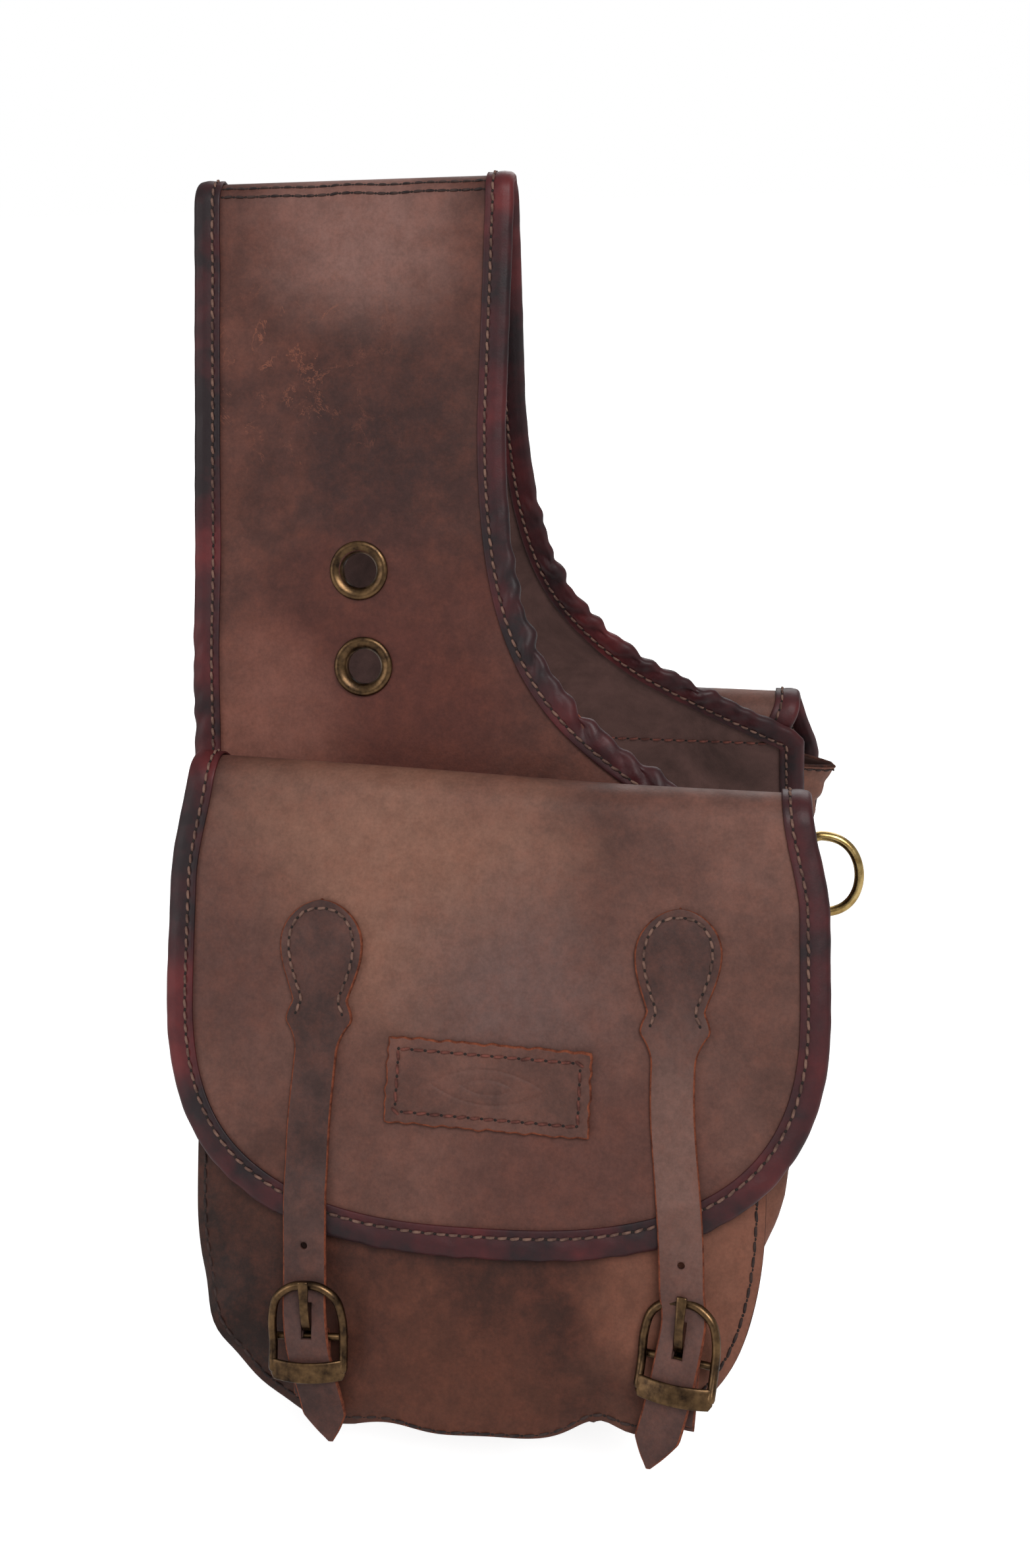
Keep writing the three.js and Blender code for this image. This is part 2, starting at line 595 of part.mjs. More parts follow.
const EYELET_PROFILE = [ // (radius, n)
  [EYELET_HOLE, -1.9], [EYELET_BARREL, -1.9],
  [EYELET_BARREL, LEATHER + GAP], [EYELET_FLANGE, LEATHER + GAP],
  [EYELET_FLANGE - 0.6, LEATHER + 1.6], [EYELET_FLANGE - 2.6, LEATHER + 2.3],
  [EYELET_HOLE + 0.9, LEATHER + 1.8], [EYELET_HOLE, LEATHER + 0.8],
];
const WASHER_PROFILE = [
  [EYELET_BARREL + GAP, -1.7], [EYELET_FLANGE - 1.5, -1.2],
  [EYELET_FLANGE - 1, -GAP], [EYELET_BARREL + GAP, -GAP],
];

function dRing() {
  const bar = range(5, -RING_HALF_HEIGHT, RING_HALF_HEIGHT).map((h) => point(0, 0, h));
  const bow = range(20, Math.PI / 2, -Math.PI / 2).map((a) => {
    const reach = RING_CORNER + (RING_REACH - RING_CORNER) * Math.cos(a) ** 0.75;
    return point(reach, 0, (RING_HALF_HEIGHT + 1.4) * Math.sin(a));
  });
  return wire([...bar, ...bow], RING_WIRE, 6, true).translate(RING_AT.u, RING_AT.n, RING_AT.h);
}

function ringTab() {
  const radius = RING_WIRE + GAP + CHAPE_LEATHER / 2;
  const foot = LEATHER + BINDING_LEATHER + 2 * GAP + CHAPE_LEATHER / 2;
  const upper = foot + CHAPE_LEATHER + GAP;
  const loop = range(10, -Math.PI / 2, Math.PI / 2).map((a) => [
    RING_AT.u + radius * Math.cos(a),
    RING_AT.n + radius * Math.sin(a),
  ]);
  const under = [[184, foot], [192, foot]];
  const over = [[193, RING_AT.n + 2.4], [188.5, upper + 0.2], [184, upper]];
  const row = ([u, n]) => [point(u, n, RING_AT.h - TAB_HALF), point(u, n, RING_AT.h + TAB_HALF)];
  return sheet([...under, ...loop, ...over].map(row), CHAPE_LEATHER);
}

function namePatch(half) {
  const line = flapTrack(half.flapHinge);
  const turn = THREE.MathUtils.degToRad(PATCH.turn);
  const centre = flapLengthTo(half.flapHinge, PATCH.h);
  const lift = (LEATHER + PATCH.thickness) / 2 + GAP + 0.1;
  const grid = range(2, -0.5, 0.5).map((down) =>
    range(2, -0.5, 0.5).map((over) => {
      const spot = new THREE.Vector2(over * PATCH.width, down * PATCH.height);
      spot.rotateAround(new THREE.Vector2(), turn);
      return onTrack(line, PATCH.u + spot.x, centre + spot.y, lift);
    }),
  );
  return sheet(grid, PATCH.thickness);
}

// ---- Assembly --------------------------------------------------------------------------------
function place(name, geometry, material, half) {
  const ready = merged(geometry);
  const p = ready.attributes.position;
  for (let i = 0; i < p.count; i++) {
    p.setXYZ(i, p.getX(i), half.outward * (half.radius + p.getY(i)), -p.getZ(i));
  }
  outward(ready);
  const mesh = new THREE.Mesh(ready, material);
  mesh.name = `${half.name}_${name}`;
  return mesh;
}

function buildHalf(half) {
  const group = new THREE.Group();
  const add = (name, geometry, material) => group.add(place(name, geometry, material, half));
  add('yoke_panel', panel(half), YOKE_BROWN);
  add('edge_binding', edgeBinding(half), BURGUNDY);
  add('pouch_front', pouchFront(), POUCH_BROWN);
  add('pouch_gusset', gusset(), POUCH_BROWN);
  add('flap_root', flapRoot(half), FLAP_BROWN);
  add('flap', flap(half), FLAP_BROWN);
  add('flap_binding', flapBinding(half), BURGUNDY);
  add('name_patch', namePatch(half), STRAP_BROWN);
  for (const [side, u] of Object.entries(STRAPS)) {
    add(`${side}_latch_strap`, strap(u, half), STRAP_BROWN);
    add(`${side}_buckle_chape`, chape(u), STRAP_BROWN);
    add(`${side}_buckle_frame`, buckleFrame(u), BRASS);
    add(`${side}_buckle_prong`, prong(u), BRASS);
  }
  for (const [level, [u, h]] of Object.entries(EYELETS)) {
    add(`${level}_eyelet`, lathed(EYELET_PROFILE, u, h), BRASS);
    add(`${level}_eyelet_washer`, lathed(WASHER_PROFILE, u, h), BRASS);
  }
  if (half.hasRing) {
    add('d_ring', dRing(), BRASS);
    add('d_ring_tab', ringTab(), STRAP_BROWN);
  }
  group.position.z = -PEG_RADIUS;
  group.rotation.x = half.outward * THREE.MathUtils.degToRad(half.tilt);
  return group;
}

// The front panel laps over the rear one at the fold, so it bends at a larger radius.
const FRONT = {
  name: 'front', outward: -1, tilt: FRONT_TILT,
  radius: PEG_RADIUS + LEATHER + GAP, lapAngle: 80, lapTrim: YOKE_RIGHT - TRIM, bindAngle: 80,
  flapHinge: 267, crestHalf: 131.5, rootEnd: 289, hasRing: true,
};
const REAR = {
  name: 'rear', outward: 1, tilt: REAR_TILT,
  radius: PEG_RADIUS, lapAngle: 150, lapTrim: YOKE_RIGHT - BINDING_WIDTH - 4, bindAngle: 0,
  flapHinge: 286, crestHalf: 128.5, rootEnd: 299, hasRing: false,
};

const saddleBag = new THREE.Group();
saddleBag.name = 'saddle_bag';
saddleBag.add(buildHalf(FRONT), buildHalf(REAR));
export default saddleBag;
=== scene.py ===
"""A pair of leather saddle bags joined by a yoke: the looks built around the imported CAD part.

Millimetres inside this script, metres in Blender. Each half has its own frame: u runs along the
fold, h is the distance below the fold axis and n the distance outwards from the panel's inner face.
"""

import math
from dataclasses import dataclass

import bmesh
import bpy
import numpy as np
from mathutils import Matrix, Vector


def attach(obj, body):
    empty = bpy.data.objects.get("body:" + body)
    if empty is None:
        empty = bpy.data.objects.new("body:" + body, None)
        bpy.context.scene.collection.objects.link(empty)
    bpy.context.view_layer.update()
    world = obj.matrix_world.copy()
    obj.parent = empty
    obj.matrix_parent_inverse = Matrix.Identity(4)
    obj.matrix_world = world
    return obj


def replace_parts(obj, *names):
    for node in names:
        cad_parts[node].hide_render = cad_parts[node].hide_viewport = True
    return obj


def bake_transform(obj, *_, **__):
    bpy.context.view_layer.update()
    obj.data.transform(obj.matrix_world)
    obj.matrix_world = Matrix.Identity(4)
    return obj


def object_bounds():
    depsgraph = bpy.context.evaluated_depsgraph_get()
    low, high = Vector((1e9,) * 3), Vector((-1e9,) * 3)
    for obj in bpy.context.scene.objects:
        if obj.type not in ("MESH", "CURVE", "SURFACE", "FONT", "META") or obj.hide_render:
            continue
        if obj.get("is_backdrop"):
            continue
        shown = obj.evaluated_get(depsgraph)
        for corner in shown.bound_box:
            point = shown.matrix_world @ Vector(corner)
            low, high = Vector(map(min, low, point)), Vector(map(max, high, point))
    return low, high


MM = 0.001
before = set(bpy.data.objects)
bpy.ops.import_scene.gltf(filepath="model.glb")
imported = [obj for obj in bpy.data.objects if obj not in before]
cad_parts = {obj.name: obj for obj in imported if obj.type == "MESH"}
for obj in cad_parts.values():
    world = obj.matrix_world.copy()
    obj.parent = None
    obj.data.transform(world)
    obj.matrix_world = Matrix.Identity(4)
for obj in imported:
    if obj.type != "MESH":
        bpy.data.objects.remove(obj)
CAD_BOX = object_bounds()

# ---- Driving dimensions, which agree with the CAD part's --------------------------------------
GAP = 0.3
LEATHER = 2.4
STRAP_LEATHER = 2.2
CHAPE_LEATHER = 1.6
BINDING_LEATHER = 1.2
BINDING_WIDTH = 12
STITCH_INSET = 9  # from the outer edge of a binding to its row of stitches
THREAD_LIFT = 0.05  # the thread lies this far above its leather
PEG_RADIUS = 5.3
YOKE_EDGE = 72
TRIM = 2.3

MOUTH = 307
POUCH_EDGE_DROP = 8
GUSSET_LEATHER = 2
FLAP_HINGE_N = 19
FLAP_BEND = 14.2
ROOT_BEND = 11.4

EYELETS = {"upper": (3, 163), "lower": (5, 205)}
EYELET_HOLE = 7.6
EYELET_BARREL = 8.2
EYELET_FLANGE = 13

STRAP_TOP = 300
STRAP_TIP = 516
STRAP_HOLE = 437
STRAP_HALF = 8.3
HEAD_RADIUS = 18
HEAD_CENTRE = STRAP_TOP + HEAD_RADIUS
BAR_H = 474
BAR_LIFT = 2.4  # from the pouch's outer face to the middle of a buckle's bar
BAR_RADIUS = 1.5
WIRE_RADIUS = 1.8
FRAME_HALF = 14.6
CHAPE_HALF = 7.5
PRONG_THICKNESS = 1.5
PRONG_HOLE_RADIUS = 1.5
SPARE_HOLE = BAR_H + 11.5

RING_U = 197.5
RING_N = 8.1
RING_H = 290
RING_WIRE = 2
RING_HALF_HEIGHT = 14.5
RING_REACH = 20

PATCH = {"u": 67, "h": 373, "width": 83, "height": 33, "turn": 2.5, "thickness": 1.8, "margin": 4}


@dataclass
class Outline:
    """A bag's outline: straight sides down to the knee, then a superellipse to the bottom."""

    centre: float
    half: float
    knee: float
    bottom: float
    power: float

    def half_width(self, h):
        v = np.clip((np.asarray(h, float) - self.knee) / (self.bottom - self.knee), 0, 1)
        return self.half * (1 - v**self.power) ** (1 / self.power)

    def bottom_curve(self, count):
        """Points (u, h) along the bottom from the left knee to the right one, both left out."""
        angle = np.linspace(-np.pi / 2, np.pi / 2, count + 2)[1:-1]
        power = 2 / self.power
        u = np.sign(angle) * np.abs(np.sin(angle)) ** power
        v = np.abs(np.cos(angle)) ** power
        return self.centre + u * self.half, self.knee + v * (self.bottom - self.knee)


BACK = Outline(62.5, 134.5, 325, 515, 2.5)
POUCH = Outline(60.5, 118, 395, 515, 3.2)
FLAP = Outline(66.5, 138.5, 335, 440, 2.6)
ROOT_INSET = 14  # the flap is this much narrower at its sewn root than at its crest, each side
FLAP_SHOULDER = 34
CREST_SLOPE = 0.05
CREST_RISE = 4.5
FLAP_EDGE_DROP = 5


@dataclass
class Half:
    """One half of the pair, and where its own frame lies in the world."""

    name: str
    outward: int
    tilt: float
    radius: float
    flap_hinge: float = 0
    crest_half: float = 0
    root_end: float = 0

    def at(self, points):
        """World points for (u, n, h) points."""
        u, n, h = np.moveaxis(np.asarray(points, float), -1, 0)
        y = self.outward * (self.radius + n)
        angle = math.radians(self.outward * self.tilt)
        sin, cos = math.sin(angle), math.cos(angle)
        return np.stack([u, y * cos + h * sin, y * sin - h * cos - PEG_RADIUS], -1)

    def body(self, part="half"):
        return f"{self.name}_{part}"


FRONT = Half("front", -1, 12.6, PEG_RADIUS + LEATHER + GAP, 267, 131.5, 289)
REAR = Half("rear", 1, 16.2, PEG_RADIUS, 286, 128.5, 299)
WORLD = Half("yoke", 1, 0, 0)


@dataclass
class Latch:
    """A strap and its buckle: drift is how far the strap wanders sideways on its way down."""

    side: str
    u: float
    drift: tuple
    turn: tuple


LATCHES = [  # side, u, drift as (h, sideways) pairs, and the buckle's turn in degrees
    Latch("left", -5, ((300, 1), (345, 1), (395, -2.5), (440, -2), (474, 0), (516, 7)), (0, 2, 0)),
    Latch("right", 145, ((300, 0), (345, -2), (380, -3), (430, 0.5), (474, 0), (516, -8)), (-10, -6, 10)),
]


# ---- Small helpers ----------------------------------------------------------------------------
def unit(v):
    return v / np.maximum(np.linalg.norm(v, axis=-1, keepdims=True), 1e-12)


def smoothstep(x, low, high):
    t = np.clip((np.asarray(x, float) - low) / (high - low), 0, 1)
    return t * t * (3 - 2 * t)


def bump(x, centre, width):
    return np.exp(-(((np.asarray(x, float) - centre) / width) ** 2))


def waves(x, lengths, seed):
    """A smooth irregular wave of about -1 to 1: sines of those lengths with seeded phases."""
    phases = np.random.default_rng(seed).uniform(0, 2 * np.pi, len(lengths))
    total = sum(np.sin(2 * np.pi * x / length + phase) for length, phase in zip(lengths, phases))
    return total / math.sqrt(len(lengths))


def full_turn(count):
    """Evenly spaced angles round a circle."""
    return np.linspace(0, 2 * np.pi, count, endpoint=False)


def read_at(values, lengths, s):
    """The rows of values at distances s, where lengths are the distances of the rows."""
    return np.stack([np.interp(s, lengths, column) for column in values.T], -1)


def spline(points, count):
    """A Catmull-Rom curve through the points, as count + 1 evenly spaced points."""
    p = np.asarray(points, float)
    p = np.concatenate([[2 * p[0] - p[1]], p, [2 * p[-1] - p[-2]]])
    t = np.linspace(0, 1, 24, endpoint=False)[:, None]
    parts = []
    for a, b, c, d in zip(p[:-3], p[1:-2], p[2:-1], p[3:]):
        cubic = (3 * b - a - 3 * c + d) * t**3 + (2 * a - 5 * b + 4 * c - d) * t**2
        parts.append((cubic + (c - a) * t + 2 * b) / 2)
    dense = np.concatenate([*parts, p[-2:-1]])
    lengths = arc_lengths(dense)
    return read_at(dense, lengths, np.linspace(0, lengths[-1], count + 1))


def arc_lengths(points):
    steps = np.linalg.norm(np.diff(points, axis=0), axis=1)
    return np.concatenate([[0], np.cumsum(steps)])


def arc(centre, radius, start, end, count):
    """Side-view points (h, n) round a centre; angles are degrees above level, outwards first."""
    angle = np.radians(np.linspace(start, end, count + 1))
    radius = np.linspace(*radius, count + 1) if isinstance(radius, tuple) else radius
    return np.stack([centre[0] - radius * np.sin(angle), centre[1] + radius * np.cos(angle)], -1)


class Track:
    """A smooth line in side view, through (h, n) points, that leather lies along."""

    def __init__(self, points):
        self.points = np.asarray(points, float)
        self.lengths = arc_lengths(self.points)
        direction = unit(np.gradient(self.points, self.lengths, axis=0))
        self.normals = np.stack([-direction[:, 1], direction[:, 0]], -1)

    @property
    def length(self):
        return self.lengths[-1]

    def height(self, s):
        return np.interp(s, self.lengths, self.points[:, 0])

    def s_at(self, h):
        """The distance along the track at height h, on the stretch where h only grows."""
        first = int(np.argmin(self.points[:, 0]))
        return np.interp(h, self.points[first:, 0], self.lengths[first:])

    def at(self, u, s, lift=0):
        """(u, n, h) of the point at u across, s along and lift off the track."""
        u, s, lift = np.broadcast_arrays(np.asarray(u, float), s, lift)
        h, n = np.moveaxis(read_at(self.points, self.lengths, s), -1, 0)
        normal = unit(read_at(self.normals, self.lengths, s))
        return np.stack([u, n + lift * normal[..., 1], h + lift * normal[..., 0]], -1)


def grid(place, rows, left, right, cols):
    """Points on a surface: rows are distances along it, left and right its edges at each row."""
    t = np.linspace(0, 1, cols + 1)
    u = left(rows)[:, None] * (1 - t) + right(rows)[:, None] * t
    return place(u, rows[:, None] + 0 * t)


def band(place, rows, half_width, cols, centre=0):
    """Points on a surface that reaches half_width(rows) to each side of its centre line."""
    return grid(place, rows, lambda s: centre - half_width(s), lambda s: centre + half_width(s), cols)


# ---- Meshes -----------------------------------------------------------------------------------
def quads(first, second):
    """Quads between two equally long closed loops of vertex numbers."""
    a, b = np.asarray(first), np.asarray(second)
    return np.stack([a, b, np.roll(b, -1), np.roll(a, -1)], -1)


def make_piece(name, vertices, faces, finishes, indices=None):
    """A mesh object from points in millimetres. indices gives each face's place in finishes."""
    mesh = bpy.data.meshes.new(name)
    mesh.from_pydata((np.asarray(vertices) * MM).tolist(), [], [list(map(int, f)) for f in faces])
    for finish in finishes:
        mesh.materials.append(finish)
    if indices is not None:
        mesh.polygons.foreach_set("material_index", np.asarray(indices, np.int32))
    shape = bmesh.new()
    shape.from_mesh(mesh)
    bmesh.ops.recalc_face_normals(shape, faces=shape.faces)
    shape.to_mesh(mesh)
    shape.free()
    piece = bpy.data.objects.new(name, mesh)
    bpy.context.scene.collection.objects.link(piece)
    settle(piece)
    return piece


def settle(piece):
    """Shades the piece smooth and keeps each vertex's place at rest, which its finish is read from."""
    mesh = piece.data
    places = np.zeros(len(mesh.vertices) * 3, np.float32)
    mesh.vertices.foreach_get("co", places)
    rest = mesh.attributes.get("rest") or mesh.attributes.new("rest", "FLOAT_VECTOR", "POINT")
    rest.data.foreach_set("vector", places)
    mesh.polygons.foreach_set("use_smooth", [True] * len(mesh.polygons))
    mesh.update()


def boundary(rows, cols, closed):
    """The boundary loops of a grid of vertices, each with the vertices just inside it."""
    i, j = np.arange(rows), np.arange(cols)
    if closed:
        return [(i * cols, i * cols + 1), (i * cols + cols - 1, i * cols + cols - 2)]
    across = [j, np.full(rows - 1, cols - 1), j[-2::-1], np.zeros(rows - 2, int)]
    along = [np.zeros(cols, int), i[1:], np.full(cols - 1, rows - 1), i[-2:0:-1]]
    across, along = np.concatenate(across), np.concatenate(along)
    inner = np.clip(along, 1, rows - 2) * cols + np.clip(across, 1, cols - 2)
    return [(along * cols + across, inner)]


def leather(name, middle, thickness, finishes, edge=0.5, closed=False, turned=False):
    """A sheet of leather with rounded raw edges, from a grid of points on its middle surface.

    finishes are its outer face, inner face and raw edge. With the rows running down and the columns to
    the right the outer face looks towards -Y, or towards +Y if turned. A closed sheet is a loop of rows.
    """
    rows, cols = middle.shape[:2]
    across = np.gradient(middle, axis=1)
    along = np.roll(middle, -1, 0) - np.roll(middle, 1, 0) if closed else np.gradient(middle, axis=0)
    normal = unit(np.cross(along, across)).reshape(-1, 3) * (-1 if turned else 1)
    flat = middle.reshape(-1, 3)
    layers = [flat + normal * thickness / 2, flat - normal * thickness / 2]
    number = np.arange(rows * cols).reshape(rows, cols)
    number = np.concatenate([number, number[:1]]) if closed else number
    corners = (number[:-1, :-1], number[1:, :-1], number[1:, 1:], number[:-1, 1:])
    outer = np.stack([c.ravel() for c in corners], -1)
    faces, indices = [outer, outer + rows * cols], [np.zeros(len(outer)), np.ones(len(outer))]
    count = 2 * rows * cols
    for loop, inner in boundary(rows, cols, closed):
        out = flat[loop] - flat[inner]
        out = unit(out - (out * normal[loop]).sum(-1, keepdims=True) * normal[loop])
        last = loop
        for angle in np.radians([40, 75, 105, 140]):
            lift = normal[loop] * thickness / 2 * math.cos(angle)
            layers.append(flat[loop] + lift + out * edge * math.sin(angle))
            ring = count + np.arange(len(loop))
            faces.append(quads(last, ring))
            count, last = count + len(loop), ring
        faces.append(quads(last, loop + rows * cols))
        indices.append(np.full(5 * len(loop), 2))
    vertices, faces, indices = (np.concatenate(part) for part in (layers, faces, indices))
    return make_piece(name, vertices, faces, finishes, indices)


OFF_AXIS = [0.3, 0.5, 0.8]  # a direction that no rod or hole starts along


def circle(direction, side, count):
    """Directions round an axis, from side, which is square to it."""
    angle = full_turn(count)[:, None]
    return np.cos(angle) * side + np.sin(angle) * np.cross(direction, side)


def rod(path, radius, sides=14, closed=False):
    """Vertices and faces of a round wire along a path. An open one has round ends."""
    path = np.asarray(path, float)
    radii = np.full(len(path), float(radius))
    if not closed:
        caps = np.radians([85, 60, 35])
        start, end = unit(path[0] - path[1]), unit(path[-1] - path[-2])
        before = path[0] + start * radius * np.sin(caps)[:, None]
        after = path[-1] + end * radius * np.sin(caps[::-1])[:, None]
        path = np.concatenate([before, path, after])
        radii = np.concatenate([radius * np.cos(caps), radii, radius * np.cos(caps[::-1])])
    tangent = np.roll(path, -1, 0) - np.roll(path, 1, 0) if closed else np.gradient(path, axis=0)
    tangent = unit(tangent)
    side = unit(np.cross(tangent[0], OFF_AXIS))
    rings = []
    for point, direction, r in zip(path, tangent, radii):
        side = unit(side - direction * side.dot(direction))
        rings.append(point + r * circle(direction, side, sides))
    return skin(rings, closed)


def skin(rings, closed=False):
    """Vertices and faces of a surface through equally long closed rings, with its ends capped."""
    size = len(rings[0])
    loops = [np.arange(size) + k * size for k in range(len(rings))]
    pairs = zip(loops, loops[1:] + loops[:1]) if closed else zip(loops, loops[1:])
    faces = [list(face) for a, b in pairs for face in quads(a, b)]
    if not closed:
        faces += [list(loops[0]), list(loops[-1])]
    return np.concatenate(rings), faces


def joined(shapes):
    """Several closed shapes in one list of vertices and faces."""
    vertices, faces, count = [], [], 0
    for points, sides in shapes:
        vertices.append(points)
        faces += [[v + count for v in side] for side in sides]
        count += len(points)
    return np.concatenate(vertices), faces


def cut(piece, cutters):
    """Takes each cutter, given as vertices and faces in millimetres, out of the piece."""
    tool = make_piece("cutter", *joined(cutters), [])
    modifier = piece.modifiers.new("cut", "BOOLEAN")
    modifier.object = tool
    modifier.operation = "DIFFERENCE"
    modifier.solver = "EXACT"
    graph = bpy.context.evaluated_depsgraph_get()
    result = bpy.data.meshes.new_from_object(piece.evaluated_get(graph))
    piece.modifiers.clear()
    piece.data = result
    bpy.data.objects.remove(tool)
    settle(piece)
    return piece


def drum(start, end, radius, sides=40):
    """Vertices and faces of a plain cylinder between two points."""
    start, end = np.asarray(start, float), np.asarray(end, float)
    direction = unit(end - start)
    ring = radius * circle(direction, unit(np.cross(direction, OFF_AXIS)), sides)
    return skin([start + ring, end + ring])


# ---- Materials --------------------------------------------------------------------------------
def colour(red, green, blue):
    """A scene colour from 0 to 255 display values."""
    channels = [c / 255 for c in (red, green, blue)]
    return (*(c / 12.92 if c <= 0.04045 else ((c + 0.055) / 1.055) ** 2.4 for c in channels), 1)


SOCKETS = {  # the shader's sockets whose names differ from the short ones used here
    "color": "Base Color",
    "specular": "Specular IOR Level",
    "coat": "Coat Weight",
    "coat_roughness": "Coat Roughness",
}


class Finish:
    """A material being made, with its patterns read from each vertex's place at rest."""

    def __init__(self, name):
        self.material = bpy.data.materials.new(name)
        self.material.use_nodes = True
        self.tree = self.material.node_tree
        self.shader = self.tree.nodes["Principled BSDF"]
        self.place = self.node("Attribute", attribute_name="rest").outputs["Vector"]

    def node(self, kind, **settings):
        made = self.tree.nodes.new("ShaderNode" + kind)
        for key, value in settings.items():
            setattr(made, key, value)
        return made

    def feed(self, socket, value):
        if isinstance(value, bpy.types.NodeSocket):
            self.tree.links.new(value, socket)
        else:
            socket.default_value = value

    def noise(self, size, detail=4, roughness=0.55, distortion=0.0, shift=(0, 0, 0)):
        """Noise from 0 to 1 whose blotches are about size millimetres across."""
        mapping = self.node("Mapping")
        self.feed(mapping.inputs["Vector"], self.place)
        mapping.inputs["Location"].default_value = shift
        made = self.node("TexNoise")
        self.feed(made.inputs["Vector"], mapping.outputs[0])
        made.inputs["Scale"].default_value = 1 / (size * MM)
        made.inputs["Detail"].default_value = detail
        made.inputs["Roughness"].default_value = roughness
        made.inputs["Distortion"].default_value = distortion
        return made.outputs["Fac"]

    def cells(self, size):
        """The distance to the nearest of many pores that are size millimetres apart."""
        made = self.node("TexVoronoi")
        self.feed(made.inputs["Vector"], self.place)
        made.inputs["Scale"].default_value = 1 / (size * MM)
        return made.outputs["Distance"]

    def spot(self, place, reach):
        """Strong at a place in world millimetres, fading unevenly to 0 about reach away from it."""
        away = self.node("VectorMath", operation="DISTANCE")
        self.feed(away.inputs[0], self.place)
        away.inputs[1].default_value = [c * MM for c in place]
        wander = self.maths("SUBTRACT", self.noise(42, 3), 0.5)
        distance = self.maths("ADD", self.maths("DIVIDE", away.outputs["Value"], reach * MM), wander)
        made = self.node("MapRange", interpolation_type="SMOOTHSTEP")
        self.feed(made.inputs["Value"], distance)
        made.inputs["From Min"].default_value = 0.2
        made.inputs["From Max"].default_value = 1.1
        made.inputs["To Min"].default_value = 0.92
        made.inputs["To Max"].default_value = 0.0
        return made.outputs[0]

    def ramp(self, value, *stops):
        """Colours or greys at positions along a 0 to 1 value."""
        made = self.node("ValToRGB")
        self.feed(made.inputs["Fac"], value)
        elements = made.color_ramp.elements
        while len(elements) < len(stops):
            elements.new(0.5)
        for element, (position, tone) in zip(elements, stops):
            element.position = position
            element.color = tone if isinstance(tone, tuple) else (tone, tone, tone, 1)
        return made.outputs["Color"]

    def mix(self, share, first, second, blend="MIX"):
        made = self.node("Mix", data_type="RGBA", blend_type=blend)
        self.feed(made.inputs["Factor"], share)
        self.feed(made.inputs[6], first)
        self.feed(made.inputs[7], second)
        return made.outputs[2]

    def maths(self, operation, first, second):
        made = self.node("Math", operation=operation)
        self.feed(made.inputs[0], first)
        self.feed(made.inputs[1], second)
        return made.outputs[0]

    def relief(self, height, depth, strength):
        """Adds a bump of depth millimetres to those that the shader already has."""
        made = self.node("Bump")
        made.inputs["Strength"].default_value = strength
        made.inputs["Distance"].default_value = depth * MM
        self.feed(made.inputs["Height"], height)
        links = self.shader.inputs["Normal"].links
        if links:
            self.feed(made.inputs["Normal"], links[0].from_socket)
        self.feed(self.shader.inputs["Normal"], made.outputs[0])

    def set(self, **values):
        for key, value in values.items():
            self.feed(self.shader.inputs[SOCKETS.get(key, key.capitalize())], value)


RUSSET = colour(118, 62, 44)
RUBBED = colour(150, 90, 68)


def pull_up_leather(name, dark, middle, light, seed, spots=(), scratches=None):
    """Waxed pull-up leather: cloudy brown under a fine grain.

    Spots are (place, reach, tint), and scratches are the (place, reach) where light scratches show.
    """
    f = Finish(name)
    shift = (seed * 0.37, seed * 0.11, seed * 0.23)
    clouds = f.mix(0.4, f.noise(75, 4, 0.5, shift=shift), f.noise(26, 6, 0.62, shift=shift))
    base = f.ramp(clouds, (0.35, dark), (0.5, middle), (0.65, light))
    for place, reach, tint in spots:
        base = f.mix(f.spot(place, reach), base, tint)
    base = f.mix(f.ramp(f.noise(13, 8, 0.8, shift=shift), (0.44, 0.0), (0.7, 0.24)), base, RUSSET)
    flecks = f.ramp(f.mix(0.5, f.noise(1.6, 5, 0.75), f.noise(8, 5, 0.7)), (0.4, 0.8), (0.6, 1.12))
    base = f.mix(1.0, base, flecks, "MULTIPLY")
    if scratches:
        lines = f.noise(24, 7, 0.7, 1.0, shift=shift)
        narrow = f.ramp(lines, (0.49, 0.0), (0.498, 1.0), (0.502, 1.0), (0.51, 0.0))
        broken = f.ramp(f.noise(11, 4, 0.6), (0.5, 0.0), (0.58, 0.55))
        share = f.maths("MULTIPLY", f.maths("MULTIPLY", narrow, broken), f.spot(*scratches))
        base = f.mix(share, base, RUBBED)
    f.set(color=base, roughness=f.ramp(f.noise(22, 5, 0.6), (0.35, 0.5), (0.65, 0.66)), specular=0.22)
    f.relief(f.noise(9, 4, 0.6), 0.4, 0.5)
    f.relief(f.cells(1.1), 0.09, 0.5)
    f.relief(f.noise(0.7, 3, 0.7), 0.07, 0.5)
    return f.material


def flesh_side(name, dark, light):
    """The inner face of the leather, which is darker and dull."""
    f = Finish(name)
    f.set(color=f.ramp(f.noise(40, 6, 0.65, 0.5), (0.35, dark), (0.65, light)))
    f.set(roughness=0.72, specular=0.25)
    f.relief(f.noise(0.8, 4, 0.75), 0.2, 0.7)
    return f.material


def raw_edge(name, dark, light):
    """A cut edge: orange-brown fibres."""
    f = Finish(name)
    f.set(color=f.ramp(f.noise(3.5, 6, 0.75), (0.36, dark), (0.62, light)), roughness=0.8, specular=0.2)
    f.relief(f.noise(0.5, 4, 0.8), 0.3, 0.8)
    return f.material


